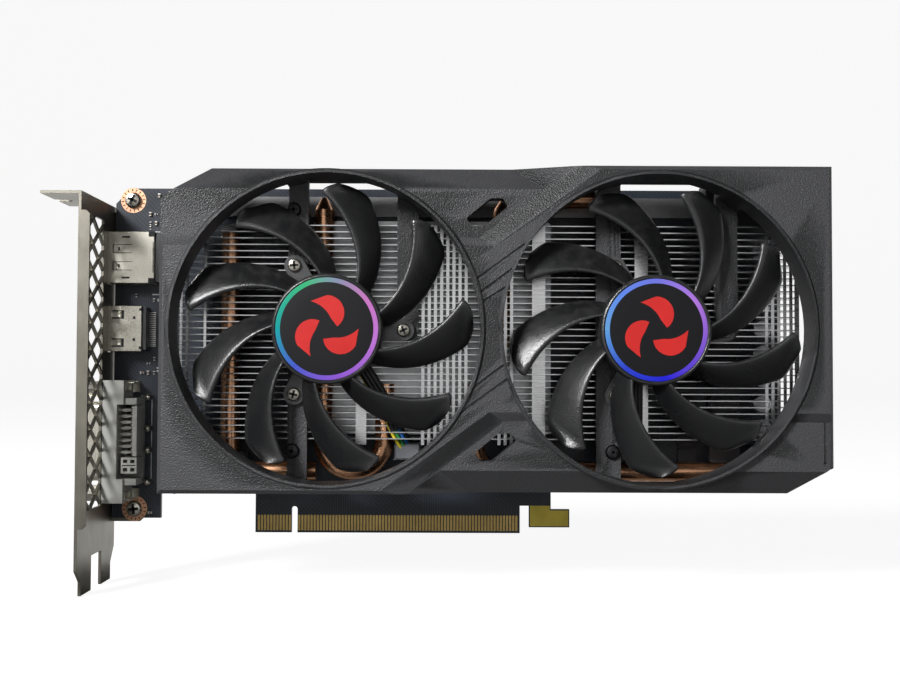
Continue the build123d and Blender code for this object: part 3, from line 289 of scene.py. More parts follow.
def drawn_group():
    """Long fine lines left by rolling or brushing, along one axis chosen by the three scales."""
    group, given, result = new_group("drawn_lines", {"Along X": 300.0, "Along Y": 300.0, "Along Z": 9000.0},
                                     ("Height", "Blotch"))
    spot = add_node(group, "ShaderNodeTexCoord")
    stretch = add_node(group, "ShaderNodeCombineXYZ")
    for axis in "XYZ":
        link(group, given.outputs["Along " + axis], stretch.inputs[axis])
    scaled = add_node(group, "ShaderNodeVectorMath", operation="MULTIPLY")
    link(group, spot.outputs["Object"], scaled.inputs[0])
    link(group, stretch.outputs["Vector"], scaled.inputs[1])
    lines = add_node(group, "ShaderNodeTexNoise")
    lines.inputs["Scale"].default_value = 1.0
    lines.inputs["Detail"].default_value = 3.0
    link(group, scaled.outputs["Vector"], lines.inputs["Vector"])
    blotch = add_node(group, "ShaderNodeTexNoise")
    blotch.inputs["Scale"].default_value = 120.0
    blotch.inputs["Detail"].default_value = 4.0
    link(group, spot.outputs["Object"], blotch.inputs["Vector"])
    link(group, lines.outputs["Fac"], result.inputs["Height"])
    link(group, blotch.outputs["Fac"], result.inputs["Blotch"])
    return group


# ------------------------------------------------------------------ materials

def plain_finish(name, colour, roughness, metallic=0.0):
    material = bpy.data.materials.new(name)
    material.use_nodes = True
    shader = material.node_tree.nodes["Principled BSDF"]
    shader.inputs["Base Color"].default_value = (*colour, 1)
    shader.inputs["Roughness"].default_value = roughness
    shader.inputs["Metallic"].default_value = metallic
    return material, shader


def use_group(tree, group, **values):
    node = tree.nodes.new("ShaderNodeGroup")
    node.node_tree = group
    for label, value in values.items():
        node.inputs[label.replace("_", " ")].default_value = value
    return node


def blend_colour(tree, factor, first, second):
    """Colour between two colours or sockets, by a factor socket."""
    mix = tree.nodes.new("ShaderNodeMix")
    mix.data_type = "RGBA"
    tree.links.new(factor, mix.inputs[0])
    for socket, value in ((mix.inputs[6], first), (mix.inputs[7], second)):
        if isinstance(value, tuple):
            socket.default_value = (*value, 1)
        else:
            tree.links.new(value, socket)
    return mix.outputs[2]


def spread(tree, source, low, high, from_low=0.3, from_high=0.7):
    """Range of values made from a texture's output."""
    ranger = add_node(tree, "ShaderNodeMapRange")
    ranger.inputs["From Min"].default_value = from_low
    ranger.inputs["From Max"].default_value = from_high
    ranger.inputs["To Min"].default_value = low
    ranger.inputs["To Max"].default_value = high
    tree.links.new(source, ranger.inputs["Value"])
    return ranger.outputs["Result"]


def add_bump(tree, shader, height, strength, distance):
    bump = add_node(tree, "ShaderNodeBump")
    bump.inputs["Strength"].default_value = strength
    bump.inputs["Distance"].default_value = distance
    tree.links.new(height, bump.inputs["Height"])
    tree.links.new(bump.outputs["Normal"], shader.inputs["Normal"])


# Depths of the moulded grain and of drawn lines, in metres
GRAIN_DEPTH = 0.0002
LINE_DEPTH = 0.00006


def moulded(name, colour, roughness, grain=2600.0, strength=0.35, dust=0.5, wear=0.5,
            rubbed=(0.16, 0.16, 0.17), sheen=0.5):
    """Moulded plastic: pebbled grain, uneven sheen, rubbed edges and a little dust."""
    material, shader = plain_finish(name, colour, roughness)
    tree = material.node_tree
    texture = use_group(tree, GRAIN, Grain=grain)
    edges = use_group(tree, WEAR)
    dusty = use_group(tree, DUST, Amount=dust)
    light = tuple(min(1.0, c * 1.5 + 0.004) for c in colour)
    base = blend_colour(tree, texture.outputs["Patch"], colour, light)
    worn = blend_colour(tree, calc(tree, "MULTIPLY", edges.outputs["Mask"], wear), base, rubbed)
    tree.links.new(blend_colour(tree, dusty.outputs["Mask"], worn, (0.5, 0.48, 0.45)),
                   shader.inputs["Base Color"])
    tree.links.new(spread(tree, texture.outputs["Patch"], roughness - 0.05, roughness + 0.07),
                   shader.inputs["Roughness"])
    shader.inputs["Specular IOR Level"].default_value = sheen
    add_bump(tree, shader, texture.outputs["Height"], strength, GRAIN_DEPTH)
    return material


def sheet_metal(name, colour, roughness, lines=(300.0, 300.0, 9000.0), dark=0.75, strength=0.12):
    """Bare metal with drawn lines and slow changes of tone."""
    material, shader = plain_finish(name, colour, roughness, 1.0)
    tree = material.node_tree
    texture = use_group(tree, DRAWN, Along_X=lines[0], Along_Y=lines[1], Along_Z=lines[2])
    dull = tuple(c * dark for c in colour)
    tree.links.new(blend_colour(tree, spread(tree, texture.outputs["Blotch"], 0, 1), dull, colour),
                   shader.inputs["Base Color"])
    tree.links.new(spread(tree, texture.outputs["Height"], roughness - 0.06, roughness + 0.1),
                   shader.inputs["Roughness"])
    add_bump(tree, shader, texture.outputs["Height"], strength, LINE_DEPTH)
    return material


def board_finish():
    """Dark solder mask over copper traces that show as faint raised lines."""
    material, shader = plain_finish("solder_mask", (0.012, 0.016, 0.024), 0.34)
    tree = material.node_tree
    spot = add_node(tree, "ShaderNodeTexCoord")
    waves = []
    for turn, scale in ((0.0, 420.0), (math.pi / 4, 300.0)):
        mapping = add_node(tree, "ShaderNodeMapping")
        mapping.inputs["Rotation"].default_value = (0, turn, 0)
        link(tree, spot.outputs["Object"], mapping.inputs["Vector"])
        wave = add_node(tree, "ShaderNodeTexWave", bands_direction="X")
        wave.inputs["Scale"].default_value = scale
        wave.inputs["Distortion"].default_value = 0.0
        link(tree, mapping.outputs["Vector"], wave.inputs["Vector"])
        waves.append(calc(tree, "GREATER_THAN", wave.outputs["Fac"], 0.72))
    area = add_node(tree, "ShaderNodeTexVoronoi")
    area.inputs["Scale"].default_value = 75.0
    link(tree, spot.outputs["Object"], area.inputs["Vector"])
    pick = calc(tree, "GREATER_THAN", area.outputs["Color"], 0.5)
    traces = calc(tree, "ADD", calc(tree, "MULTIPLY", waves[0], pick),
                  calc(tree, "MULTIPLY", waves[1], calc(tree, "SUBTRACT", 1.0, pick)))
    patch = use_group(tree, GRAIN, Grain=1200.0, Patches=90.0)
    base = blend_colour(tree, patch.outputs["Patch"], (0.010, 0.013, 0.019), (0.020, 0.026, 0.038))
    link(tree, blend_colour(tree, traces, base, (0.028, 0.038, 0.055)), shader.inputs["Base Color"])
    link(tree, spread(tree, patch.outputs["Patch"], 0.28, 0.42), shader.inputs["Roughness"])
    add_bump(tree, shader, traces, 0.25, 0.00003)
    return material


def label_finish(name, hues, centre):
    """Black printed film with a partly metallic ring whose hue changes round the hub; the ring glows with
    painted light.
    """
    material, shader = plain_finish(name, (0.008, 0.008, 0.01), 0.22)
    tree = material.node_tree
    spot = add_node(tree, "ShaderNodeTexCoord")
    shift = add_node(tree, "ShaderNodeMapping")
    shift.inputs["Location"].default_value = (-centre.x * MM, 0, -centre.z * MM)
    link(tree, spot.outputs["Object"], shift.inputs["Vector"])
    split = add_node(tree, "ShaderNodeSeparateXYZ")
    link(tree, shift.outputs["Vector"], split.inputs["Vector"])
    turn = calc(tree, "ARCTAN2", split.outputs["Z"], split.outputs["X"])
    around = calc(tree, "ADD", calc(tree, "DIVIDE", turn, 2 * math.pi), 0.5)
    ramp = add_node(tree, "ShaderNodeValToRGB")
    stops = ramp.color_ramp.elements
    for _ in hues[2:]:
        stops.new(0.5)
    for stop, (position, colour) in zip(stops, hues):
        stop.position = position
        stop.color = (*colour, 1)
    link(tree, around, ramp.inputs["Fac"])
    flat = add_node(tree, "ShaderNodeCombineXYZ")
    link(tree, split.outputs["X"], flat.inputs["X"])
    link(tree, split.outputs["Z"], flat.inputs["Z"])
    length = add_node(tree, "ShaderNodeVectorMath", operation="LENGTH")
    link(tree, flat.outputs["Vector"], length.inputs[0])
    radius = length.outputs["Value"]
    ring = calc(tree, "MULTIPLY", calc(tree, "GREATER_THAN", radius, RING_INNER * MM),
                calc(tree, "LESS_THAN", radius, RING_OUTER * MM))
    link(tree, blend_colour(tree, ring, (0.006, 0.006, 0.008), ramp.outputs["Color"]),
         shader.inputs["Base Color"])
    link(tree, spread(tree, ring, 0.42, 0.22, 0, 1), shader.inputs["Roughness"])
    link(tree, calc(tree, "MULTIPLY", ring, 0.55), shader.inputs["Metallic"])
    shader.inputs["Specular IOR Level"].default_value = 0.3
    # Painted light: the ring glows in its own hues, as its lit shimmer would look
    painted_glow = blend_colour(tree, ring, (0, 0, 0), ramp.outputs["Color"])
    link(tree, painted_glow, shader.inputs["Emission Color"])
    shader.inputs["Emission Strength"].default_value = 0.35
    return material


# ------------------------------------------------------------------ mesh helpers

def finish_piece(name, mesh, material, body, smooth=35.0):
    """Object for a finished mesh in metres, riding on a body."""
    piece = bpy.data.objects.new(name, mesh)
    bpy.context.scene.collection.objects.link(piece)
    if material:
        mesh.materials.clear()
        mesh.materials.append(material)
    if smooth:
        mesh.polygons.foreach_set("use_smooth", [True] * len(mesh.polygons))
        mesh.set_sharp_from_angle(angle=math.radians(smooth))
    if body:
        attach(piece, body)
    return piece


def mesh_of(name, shape):
    """Mesh in metres from a bmesh in millimetres, with its faces turned outwards."""
    bmesh.ops.remove_doubles(shape, verts=shape.verts, dist=0.0005)
    bmesh.ops.recalc_face_normals(shape, faces=shape.faces)
    mesh = bpy.data.meshes.new(name)
    shape.to_mesh(mesh)
    shape.free()
    mesh.transform(Matrix.Scale(MM, 4))
    return mesh


def lathe(shape, profile, segments=64):
    """Adds a closed solid of revolution round the Y axis from (radius, height) points."""
    rings = []
    for radius, height in profile:
        if radius < 0.001:
            rings.append([shape.verts.new(place(0, 0, height))] * segments)
        else:
            rings.append([shape.verts.new(place(radius * math.cos(2 * math.pi * i / segments),
                                                radius * math.sin(2 * math.pi * i / segments), height))
                          for i in range(segments)])
    for first, second in zip(rings, rings[1:] + rings[:1]):
        for i in range(segments):
            j = (i + 1) % segments
            corners = list(dict.fromkeys((first[i], first[j], second[j], second[i])))
            if len(corners) > 2:
                shape.faces.new(corners)


def add_box(shape, low, high, round_edges=0.0, segments=2):
    """Adds a box between two corners, with rounded edges."""
    low = Vector(low)
    high = Vector(high)
    size = high - low
    made = bmesh.ops.create_cube(shape, size=1.0)["verts"]
    for corner in made:
        corner.co = Vector([low[i] + (corner.co[i] + 0.5) * size[i] for i in range(3)])
    if round_edges:
        edges = list({edge for corner in made for edge in corner.link_edges})
        bmesh.ops.bevel(shape, geom=edges, offset=round_edges, segments=segments, affect="EDGES",
                        profile=0.5)


def add_prism(shape, outline, rear, front):
    """Adds an upright prism from an outline of (x, z) points between two heights."""
    below = [shape.verts.new(place(x, z, rear)) for x, z in outline]
    above = [shape.verts.new(place(x, z, front)) for x, z in outline]
    shape.faces.new(below)
    shape.faces.new(above)
    for i in range(len(outline)):
        j = (i + 1) % len(outline)
        shape.faces.new((below[i], below[j], above[j], above[i]))


# ------------------------------------------------------------------ geometry node trees

def new_tree(name, inputs):
    """Geometry tree with named inputs after its geometry, and one geometry output."""
    tree = bpy.data.node_groups.new(name, "GeometryNodeTree")
    tree.interface.new_socket("Geometry", in_out="INPUT", socket_type="NodeSocketGeometry")
    for label, kind in inputs.items():
        tree.interface.new_socket(label, in_out="INPUT", socket_type="NodeSocket" + kind)
    tree.interface.new_socket("Geometry", in_out="OUTPUT", socket_type="NodeSocketGeometry")
    return tree, tree.nodes.new("NodeGroupInput"), tree.nodes.new("NodeGroupOutput")


def end_tree(tree, geometry, given, result):
    """Realizes the copies and gives them their finish."""
    real = tree.nodes.new("GeometryNodeRealizeInstances")
    paint = tree.nodes.new("GeometryNodeSetMaterial")
    link(tree, geometry, real.inputs["Geometry"])
    link(tree, real.outputs["Geometry"], paint.inputs["Geometry"])
    link(tree, given.outputs["Finish"], paint.inputs["Material"])
    link(tree, paint.outputs["Geometry"], result.inputs["Geometry"])


def piece_source(tree, given):
    source = tree.nodes.new("GeometryNodeObjectInfo")
    link(tree, given.outputs["Piece"], source.inputs["Object"])
    return source.outputs["Geometry"]


def row_tree():
    """Copies a piece at equal steps along a straight row."""
    tree, given, result = new_tree("copies_in_a_row", {"Piece": "Object", "Count": "Int", "Start": "Vector",
                                                       "Step": "Vector", "Finish": "Material"})
    row = tree.nodes.new("GeometryNodeMeshLine")
    link(tree, given.outputs["Count"], row.inputs["Count"])
    link(tree, given.outputs["Start"], row.inputs["Start Location"])
    link(tree, given.outputs["Step"], row.inputs["Offset"])
    copies = tree.nodes.new("GeometryNodeInstanceOnPoints")
    link(tree, row.outputs["Mesh"], copies.inputs["Points"])
    link(tree, piece_source(tree, given), copies.inputs["Instance"])
    end_tree(tree, copies.outputs["Instances"], given, result)
    return tree


def ring_tree():
    """Copies a piece round an axis along Y, anticlockwise as seen from the fans' side."""
    tree, given, result = new_tree("copies_round_an_axis", {"Piece": "Object", "Count": "Int",
                                                            "Centre": "Vector", "First": "Float",
                                                            "Finish": "Material"})
    row = tree.nodes.new("GeometryNodeMeshLine")
    link(tree, given.outputs["Count"], row.inputs["Count"])
    link(tree, given.outputs["Centre"], row.inputs["Start Location"])
    row.inputs["Offset"].default_value = (0, 0, 0)
    index = tree.nodes.new("GeometryNodeInputIndex")
    share = calc(tree, "DIVIDE", calc(tree, "MULTIPLY", index.outputs["Index"], 2 * math.pi),
                 given.outputs["Count"])
    angle = calc(tree, "MULTIPLY", calc(tree, "ADD", share, given.outputs["First"]), -1.0)
    turn = tree.nodes.new("ShaderNodeCombineXYZ")
    link(tree, angle, turn.inputs["Y"])
    copies = tree.nodes.new("GeometryNodeInstanceOnPoints")
    link(tree, row.outputs["Mesh"], copies.inputs["Points"])
    link(tree, piece_source(tree, given), copies.inputs["Instance"])
    link(tree, turn.outputs["Vector"], copies.inputs["Rotation"])
    end_tree(tree, copies.outputs["Instances"], given, result)
    return tree


def spots_tree():
    """Copies a piece to every point of the host, turned by quarter turns and a small random skew."""
    tree, given, result = new_tree("copies_at_spots", {"Piece": "Object", "Seed": "Int", "Quarters": "Int",
                                                       "Skew": "Float", "Finish": "Material"})
    pick = tree.nodes.new("FunctionNodeRandomValue")
    pick.data_type = "INT"
    link(tree, given.outputs["Quarters"], pick.inputs[5])
    link(tree, given.outputs["Seed"], pick.inputs["Seed"])
    loose = tree.nodes.new("FunctionNodeRandomValue")
    loose.data_type = "FLOAT"
    link(tree, calc(tree, "MULTIPLY", given.outputs["Skew"], -1.0), loose.inputs[2])
    link(tree, given.outputs["Skew"], loose.inputs[3])
    link(tree, given.outputs["Seed"], loose.inputs["Seed"])
    angle = calc(tree, "ADD", calc(tree, "MULTIPLY", pick.outputs[2], math.pi / 2), loose.outputs[1])
    turn = tree.nodes.new("ShaderNodeCombineXYZ")
    link(tree, angle, turn.inputs["Y"])
    copies = tree.nodes.new("GeometryNodeInstanceOnPoints")
    link(tree, given.outputs["Geometry"], copies.inputs["Points"])
    link(tree, piece_source(tree, given), copies.inputs["Instance"])
    link(tree, turn.outputs["Vector"], copies.inputs["Rotation"])
    end_tree(tree, copies.outputs["Instances"], given, result)
    return tree


def spring_tree():
    """Round-wire coil spring along Y, copied to every point of the host."""
    tree, given, result = new_tree("coil_springs", {"Turns": "Float", "Radius": "Float", "Length": "Float",
                                                    "Wire": "Float", "Finish": "Material"})
    coil = tree.nodes.new("GeometryNodeCurveSpiral")
    coil.inputs["Resolution"].default_value = 24
    link(tree, given.outputs["Turns"], coil.inputs["Rotations"])
    link(tree, given.outputs["Radius"], coil.inputs["Start Radius"])
    link(tree, given.outputs["Radius"], coil.inputs["End Radius"])
    link(tree, given.outputs["Length"], coil.inputs["Height"])
    section = tree.nodes.new("GeometryNodeCurvePrimitiveCircle")
    section.inputs["Resolution"].default_value = 8
    link(tree, given.outputs["Wire"], section.inputs["Radius"])
    wire = tree.nodes.new("GeometryNodeCurveToMesh")
    wire.inputs["Fill Caps"].default_value = True
    link(tree, coil.outputs["Curve"], wire.inputs["Curve"])
    link(tree, section.outputs["Curve"], wire.inputs["Profile Curve"])
    lay = tree.nodes.new("GeometryNodeTransform")
    lay.inputs["Rotation"].default_value = (-math.pi / 2, 0, 0)
    link(tree, wire.outputs["Mesh"], lay.inputs["Geometry"])
    copies = tree.nodes.new("GeometryNodeInstanceOnPoints")
    link(tree, given.outputs["Geometry"], copies.inputs["Points"])
    link(tree, lay.outputs["Geometry"], copies.inputs["Instance"])
    end_tree(tree, copies.outputs["Instances"], given, result)
    return tree


def sleeve_tree():
    """Round sleeve along the host's curve."""
    tree, given, result = new_tree("sleeve_on_a_path", {"Radius": "Float", "Finish": "Material"})
    section = tree.nodes.new("GeometryNodeCurvePrimitiveCircle")
    section.inputs["Resolution"].default_value = 12
    link(tree, given.outputs["Radius"], section.inputs["Radius"])
    tube = tree.nodes.new("GeometryNodeCurveToMesh")
    tube.inputs["Fill Caps"].default_value = True
    link(tree, given.outputs["Geometry"], tube.inputs["Curve"])
    link(tree, section.outputs["Curve"], tube.inputs["Profile Curve"])
    end_tree(tree, tube.outputs["Mesh"], given, result)
    return tree


def grow(host, tree, values, name, body, smooth=35.0):
    """Runs a tree on a host with named values and keeps its result as a plain piece."""
    modifier = host.modifiers.new("growth", "NODES")
    modifier.node_group = tree
    for socket in tree.interface.items_tree:
        if socket.in_out == "INPUT" and socket.name in values:
            modifier[socket.identifier] = values[socket.name]
    bpy.context.view_layer.update()
    graph = bpy.context.evaluated_depsgraph_get()
    mesh = bpy.data.meshes.new_from_object(host.evaluated_get(graph), depsgraph=graph)
    mesh.name = name
    host.modifiers.remove(modifier)
    bpy.data.objects.remove(host)
    return finish_piece(name, mesh, values["Finish"], body, smooth)


def host_of(points=()):
    """Hidden helper object whose points, in millimetres, say where the copies go."""
    mesh = bpy.data.meshes.new("host")
    mesh.from_pydata([Vector(point) * MM for point in points], [], [])
    host = bpy.data.objects.new("host", mesh)
    bpy.context.scene.collection.objects.link(host)
    return host


def pattern_of(shape):
    """Object that a tree copies, made from a bmesh in millimetres."""
    return finish_piece("pattern", mesh_of("pattern", shape), None, None, 0)


def copies(tree, shape, values, name, body, slot, points=(), smooth=35.0):
    pattern = pattern_of(shape)
    piece = grow(host_of(points), tree, {"Piece": pattern, **values}, name, body, smooth)
    bpy.data.objects.remove(pattern)
    return piece


GRAIN = grain_group()
WEAR = wear_group()
DUST = dust_group()
DRAWN = drawn_group()
ROW = row_tree()
RING = ring_tree()
SPOTS = spots_tree()
SPRING = spring_tree()
SLEEVE = sleeve_tree()
RING_INNER = 13.9
RING_OUTER = 15.3

FINISHES = {
    "board_black": board_finish(),
    "contact_gold": sheet_metal("contact_gold", (0.68, 0.48, 0.17), 0.30, (4000, 300, 300)),
    "bracket_nickel": sheet_metal("bracket_nickel", (0.27, 0.255, 0.215), 0.36, (9000, 9000, 200)),
    "screw_nickel": sheet_metal("screw_nickel", (0.66, 0.63, 0.55), 0.24),
    "screw_black": sheet_metal("screw_black", (0.05, 0.05, 0.055), 0.42),
    "port_steel": sheet_metal("port_steel", (0.70, 0.67, 0.58), 0.3, (5000, 5000, 5000), 0.92, 0.05),
    "port_black": moulded("port_black", (0.012, 0.012, 0.013), 0.45, 3500, 0.2, 0.1, 0.2),
    "dvi_grey": moulded("dvi_grey", (0.34, 0.34, 0.315), 0.48, 3200, 0.2, 0.2, 0.15, (0.4, 0.4, 0.38)),
    "socket_black": moulded("socket_black", (0.014, 0.014, 0.015), 0.5, 3200, 0.25, 0.3, 0.3),
    "pin_gold": sheet_metal("pin_gold", (0.82, 0.62, 0.3), 0.25),
    "pin_tin": sheet_metal("pin_tin", (0.72, 0.71, 0.68), 0.3),
    "package_green": moulded("package_green", (0.02, 0.07, 0.035), 0.4, 4000, 0.15, 0.2, 0.2),
    "die_silicon": plain_finish("die_silicon", (0.3, 0.31, 0.34), 0.08, 0.9)[0],
    "chip_black": moulded("chip_black", (0.018, 0.018, 0.02), 0.5, 6000, 0.3, 0.2, 0.3),
    "pad_grey": moulded("pad_grey", (0.42, 0.44, 0.47), 0.8, 5000, 0.3, 0.0, 0.0),
    "inductor_grey": moulded("inductor_grey", (0.10, 0.10, 0.105), 0.6, 5000, 0.5, 0.2, 0.2),
    "capacitor_silver": sheet_metal("capacitor_silver", (0.74, 0.74, 0.76), 0.3),
    "header_white": moulded("header_white", (0.70, 0.69, 0.64), 0.5, 3200, 0.2, 0.2, 0.1, (0.8, 0.8, 0.76)),
    "fin_aluminium": sheet_metal("fin_aluminium", (0.86, 0.86, 0.87), 0.26, (200, 6000, 6000), 0.85, 0.1),
    "base_aluminium": sheet_metal("base_aluminium", (0.68, 0.69, 0.7), 0.34),
    "plate_aluminium": sheet_metal("plate_aluminium", (0.34, 0.34, 0.345), 0.42, (200, 5000, 7000)),
    "pipe_copper": sheet_metal("pipe_copper", (0.92, 0.50, 0.29), 0.27, (250, 4000, 4000), 0.75, 0.1),
    "retention_steel": sheet_metal("retention_steel", (0.36, 0.36, 0.37), 0.38, (3000, 300, 3000)),
    "spring_steel": sheet_metal("spring_steel", (0.6, 0.6, 0.62), 0.25),
    "shroud_black": moulded("shroud_black", (0.014, 0.0145, 0.0155), 0.42, 2400, 1.0, 0.1, 0.3),
    "fan_black": moulded("fan_black", (0.008, 0.0083, 0.009), 0.30, 2600, 0.35, 0.2, 0.25, sheen=0.8),
    "rotor_steel": sheet_metal("rotor_steel", (0.45, 0.45, 0.47), 0.3),
    "magnet_black": moulded("magnet_black", (0.05, 0.05, 0.055), 0.55, 5000, 0.3, 0.0, 0.1),
    "shaft_steel": sheet_metal("shaft_steel", (0.76, 0.76, 0.77), 0.12),
    "bearing_bronze": sheet_metal("bearing_bronze", (0.62, 0.42, 0.2), 0.4),
    "coil_copper": sheet_metal("coil_copper", (0.62, 0.27, 0.1), 0.3, (9000, 300, 9000)),
    "motor_green": moulded("motor_green", (0.02, 0.10, 0.05), 0.4, 4000, 0.15, 0.1, 0.1),
    "lead_sleeve": moulded("lead_black", (0.013, 0.013, 0.014), 0.42, 2500, 0.1, 0.1, 0.1),
    "plug_grey": moulded("plug_grey", (0.10, 0.105, 0.115), 0.5, 3200, 0.2, 0.2, 0.2),
}
SHADOW = plain_finish("opening_shadow", (0.006, 0.006, 0.006), 0.7)[0]
PRINT = moulded("board_print", (0.62, 0.64, 0.66), 0.6, 5000, 0.1, 0.0, 0.0)
EMBLEM_RED = moulded("emblem_red", (0.55, 0.012, 0.010), 0.35, 5000, 0.1, 0.0, 0.0)
CAP_BROWN = moulded("capacitor_brown", (0.16, 0.11, 0.07), 0.45, 6000, 0.1, 0.0, 0.0)
CHIP_BLACK = moulded("chip_resistor", (0.02, 0.02, 0.022), 0.4, 6000, 0.1, 0.0, 0.0)
COPPER_PAD = sheet_metal("copper_pad", (0.84, 0.47, 0.30), 0.34, (3000, 300, 3000))
TINNED = FINISHES["pin_tin"]
BRIGHT_TIN = sheet_metal("bright_tin", (0.86, 0.85, 0.80), 0.2)
HOOK_GOLD = sheet_metal("hook_gold", (0.66, 0.53, 0.10), 0.42)


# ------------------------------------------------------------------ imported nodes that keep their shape

def paint_nodes():
    """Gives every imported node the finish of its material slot."""
    for row in frame["record"]["subparts"]:
        if row["material_slot"] in FINISHES:
            data = nodes[row["node"]].data
            data.materials.clear()
            data.materials.append(FINISHES[row["material_slot"]])


# Faces larger than this, in square metres, are flat panels and are shaded flat
FLAT_AREA = 6e-5


def softened_copy(node, name, width, slot, angle=24.0, segments=2):
    """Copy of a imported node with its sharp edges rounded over, which stands for the node."""
    shape = bmesh.new()
    shape.from_mesh(nodes[node].data)
    bmesh.ops.remove_doubles(shape, verts=shape.verts, dist=2e-6)
    bmesh.ops.dissolve_limit(shape, angle_limit=math.radians(0.4), verts=shape.verts, edges=shape.edges)
    mesh = bpy.data.meshes.new(name)
    shape.to_mesh(mesh)
    shape.free()
    mesh.polygons.foreach_set("use_smooth", [True] * len(mesh.polygons))
    mesh.set_sharp_from_angle(angle=math.radians(angle))
    rough = bpy.data.objects.new("rough", mesh)
    bpy.context.scene.collection.objects.link(rough)
    bevel = rough.modifiers.new("rounded", "BEVEL")
    bevel.width = width * MM
    bevel.segments = segments
    bevel.limit_method = "ANGLE"
    bevel.angle_limit = math.radians(angle)
    bevel.use_clamp_overlap = True
    bpy.context.view_layer.update()
    graph = bpy.context.evaluated_depsgraph_get()
    rounded = bpy.data.meshes.new_from_object(rough.evaluated_get(graph), depsgraph=graph)
    bpy.data.objects.remove(rough)
    rounded.polygons.foreach_set("use_smooth", [face.area < FLAT_AREA for face in rounded.polygons])
    piece = finish_piece(name, rounded, FINISHES[slot], "card", 0)
    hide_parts(node)
    return piece


# ------------------------------------------------------------------ fans

BLADES = 9
BLADE_TIP = 43.8
BLADE_ROOT = 15.4
BLADE_DROP = 5.3
NOSE_ANGLE = {"left": 12.7, "right": -0.4}
SECTION = (0.0, 0.015, 0.04, 0.08, 0.14, 0.22, 0.32, 0.44, 0.58, 0.72, 0.85, 0.94, 0.985, 1.0)


def blade_angles(radius):
    """Angles from the nose, in degrees, of the blade's leading ridge and trailing edge."""
    lead = -1.365 * (41.0 - radius)
    trail = -18.5 - 1.24 * (42.7 - radius)
    if radius > 41.0:
        lead = -6.5 * ((radius - 41.0) / 2.8) ** 2.2
    if radius > 41.6:
        trail += 5.0 * ((radius - 41.6) / 2.2) ** 2
    return lead, trail


def blade_half_thickness(share, radius):
    front = math.sqrt(max(0.0, 1 - (1 - min(share / 0.16, 1)) ** 2))
    back = math.sqrt(max(0.0, 1 - (1 - min((1 - share) / 0.07, 1)) ** 2))
    body = 1.25 - 0.75 * share
    tip = math.sqrt(max(0.0, 1 - (max(0.0, radius - 41.2) / 2.65) ** 2))
    return body * front * back * max(tip, 0.06)


def blade_shape(hub_front):
    """One swept blade with a thick rounded leading ridge and a thin trailing edge."""
    shape = bmesh.new()
    radii = [BLADE_ROOT + (41.0 - BLADE_ROOT) * i / 18 for i in range(19)]
    radii += [41.0 + (BLADE_TIP - 41.0) * math.sin(math.pi / 2 * i / 7) for i in range(1, 8)]
    loops = []
    for radius in radii:
        lead, trail = blade_angles(radius)
        loop = []
        path = [(share, 1) for share in SECTION] + [(share, -1) for share in reversed(SECTION[1:-1])]
        for share, side in path:
            turn = math.radians(lead + share * (trail - lead))
            sink = BLADE_DROP * share ** 1.45
            height = hub_front - 1.45 - sink + side * blade_half_thickness(share, radius)
            loop.append(shape.verts.new(place(radius * math.cos(turn), radius * math.sin(turn), height)))
        loops.append(loop)
    count = len(loops[0])
    for first, second in zip(loops, loops[1:]):
        for i in range(count):
            j = (i + 1) % count
            shape.faces.new((first[i], first[j], second[j], second[i]))
    for loop in (loops[0], loops[-1]):
        shape.faces.new(loop)
    return shape


def emblem_petal():
    """One curved petal of the plain fan pictogram."""
    shape = bmesh.new()
    outline = []
    for step in range(11):
        share = step / 10
        turn = math.radians(-8 + 78 * share)
        radius = 3.2 + 6.8 * math.sin(math.pi / 2 * share)
        outline.append((radius * math.cos(turn), radius * math.sin(turn)))
    for step in range(9):
        share = 1 - step / 8
        turn = math.radians(30 + 78 * share * 0.9 + 12 * (1 - share))
        radius = 3.2 + 6.3 * share ** 1.6
        outline.append((radius * math.cos(turn), radius * math.sin(turn)))
    add_prism(shape, outline, 0, 0.06)
    return shape


def build_fan(side):
    """Blades, hub, printed film and pictogram of one impeller."""
    body = f"{side}_fan"
    centre = middle(f"{side}_fan_label")
    back, front = heights(f"{side}_fan_impeller")
    label_back, label_front = heights(f"{side}_fan_label")
    here = Vector((centre.x, 0, centre.z)) * MM
    fan_black = FINISHES["fan_black"]

    blades = copies(RING, blade_shape(front), {"Count": BLADES, "Centre": here,
                                               "First": math.radians(NOSE_ANGLE[side]), "Finish": fan_black},
                    f"{side}_fan_blades", body, "fan_black", smooth=50)
    hub = bmesh.new()
    lathe(hub, [(0, front - 0.1), (15.35, front - 0.1), (15.5, front + 0.05), (15.75, front + 0.2),
                (16.1, front + 0.1), (16.45, front - 0.25), (16.6, front - 0.8), (16.6, back + 0.3),
                (16.4, back + 0.05), (15.25, back + 0.05), (15.25, front - 1.35), (0, front - 1.35)], 96)
    hub_piece = finish_piece(f"{side}_fan_hub", moved(mesh_of("hub", hub), here), fan_black, body)
    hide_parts(f"{side}_fan_impeller")
    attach(blades, body)

    film = bmesh.new()
    lathe(film, [(0, label_front + 0.02), (9, label_front), (14.6, label_front - 0.03),
                 (15.3, label_front - 0.1), (15.34, label_back - 0.08), (0, label_back - 0.08)], 128)
    label = finish_piece(f"{side}_fan_label_film", moved(mesh_of("film", film), here),
                         label_finish(f"{side}_label", LABEL_HUES[side], centre), body)
    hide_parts(f"{side}_fan_label")
    petal_centre = here + Vector((0, -label_front * MM, 0))
    copies(RING, emblem_petal(), {"Count": 3, "Centre": petal_centre, "First": math.radians(20),
                                  "Finish": EMBLEM_RED}, f"{side}_fan_emblem", body, "label_print")


def moved(mesh, offset):
    mesh.transform(Matrix.Translation(offset))
    return mesh


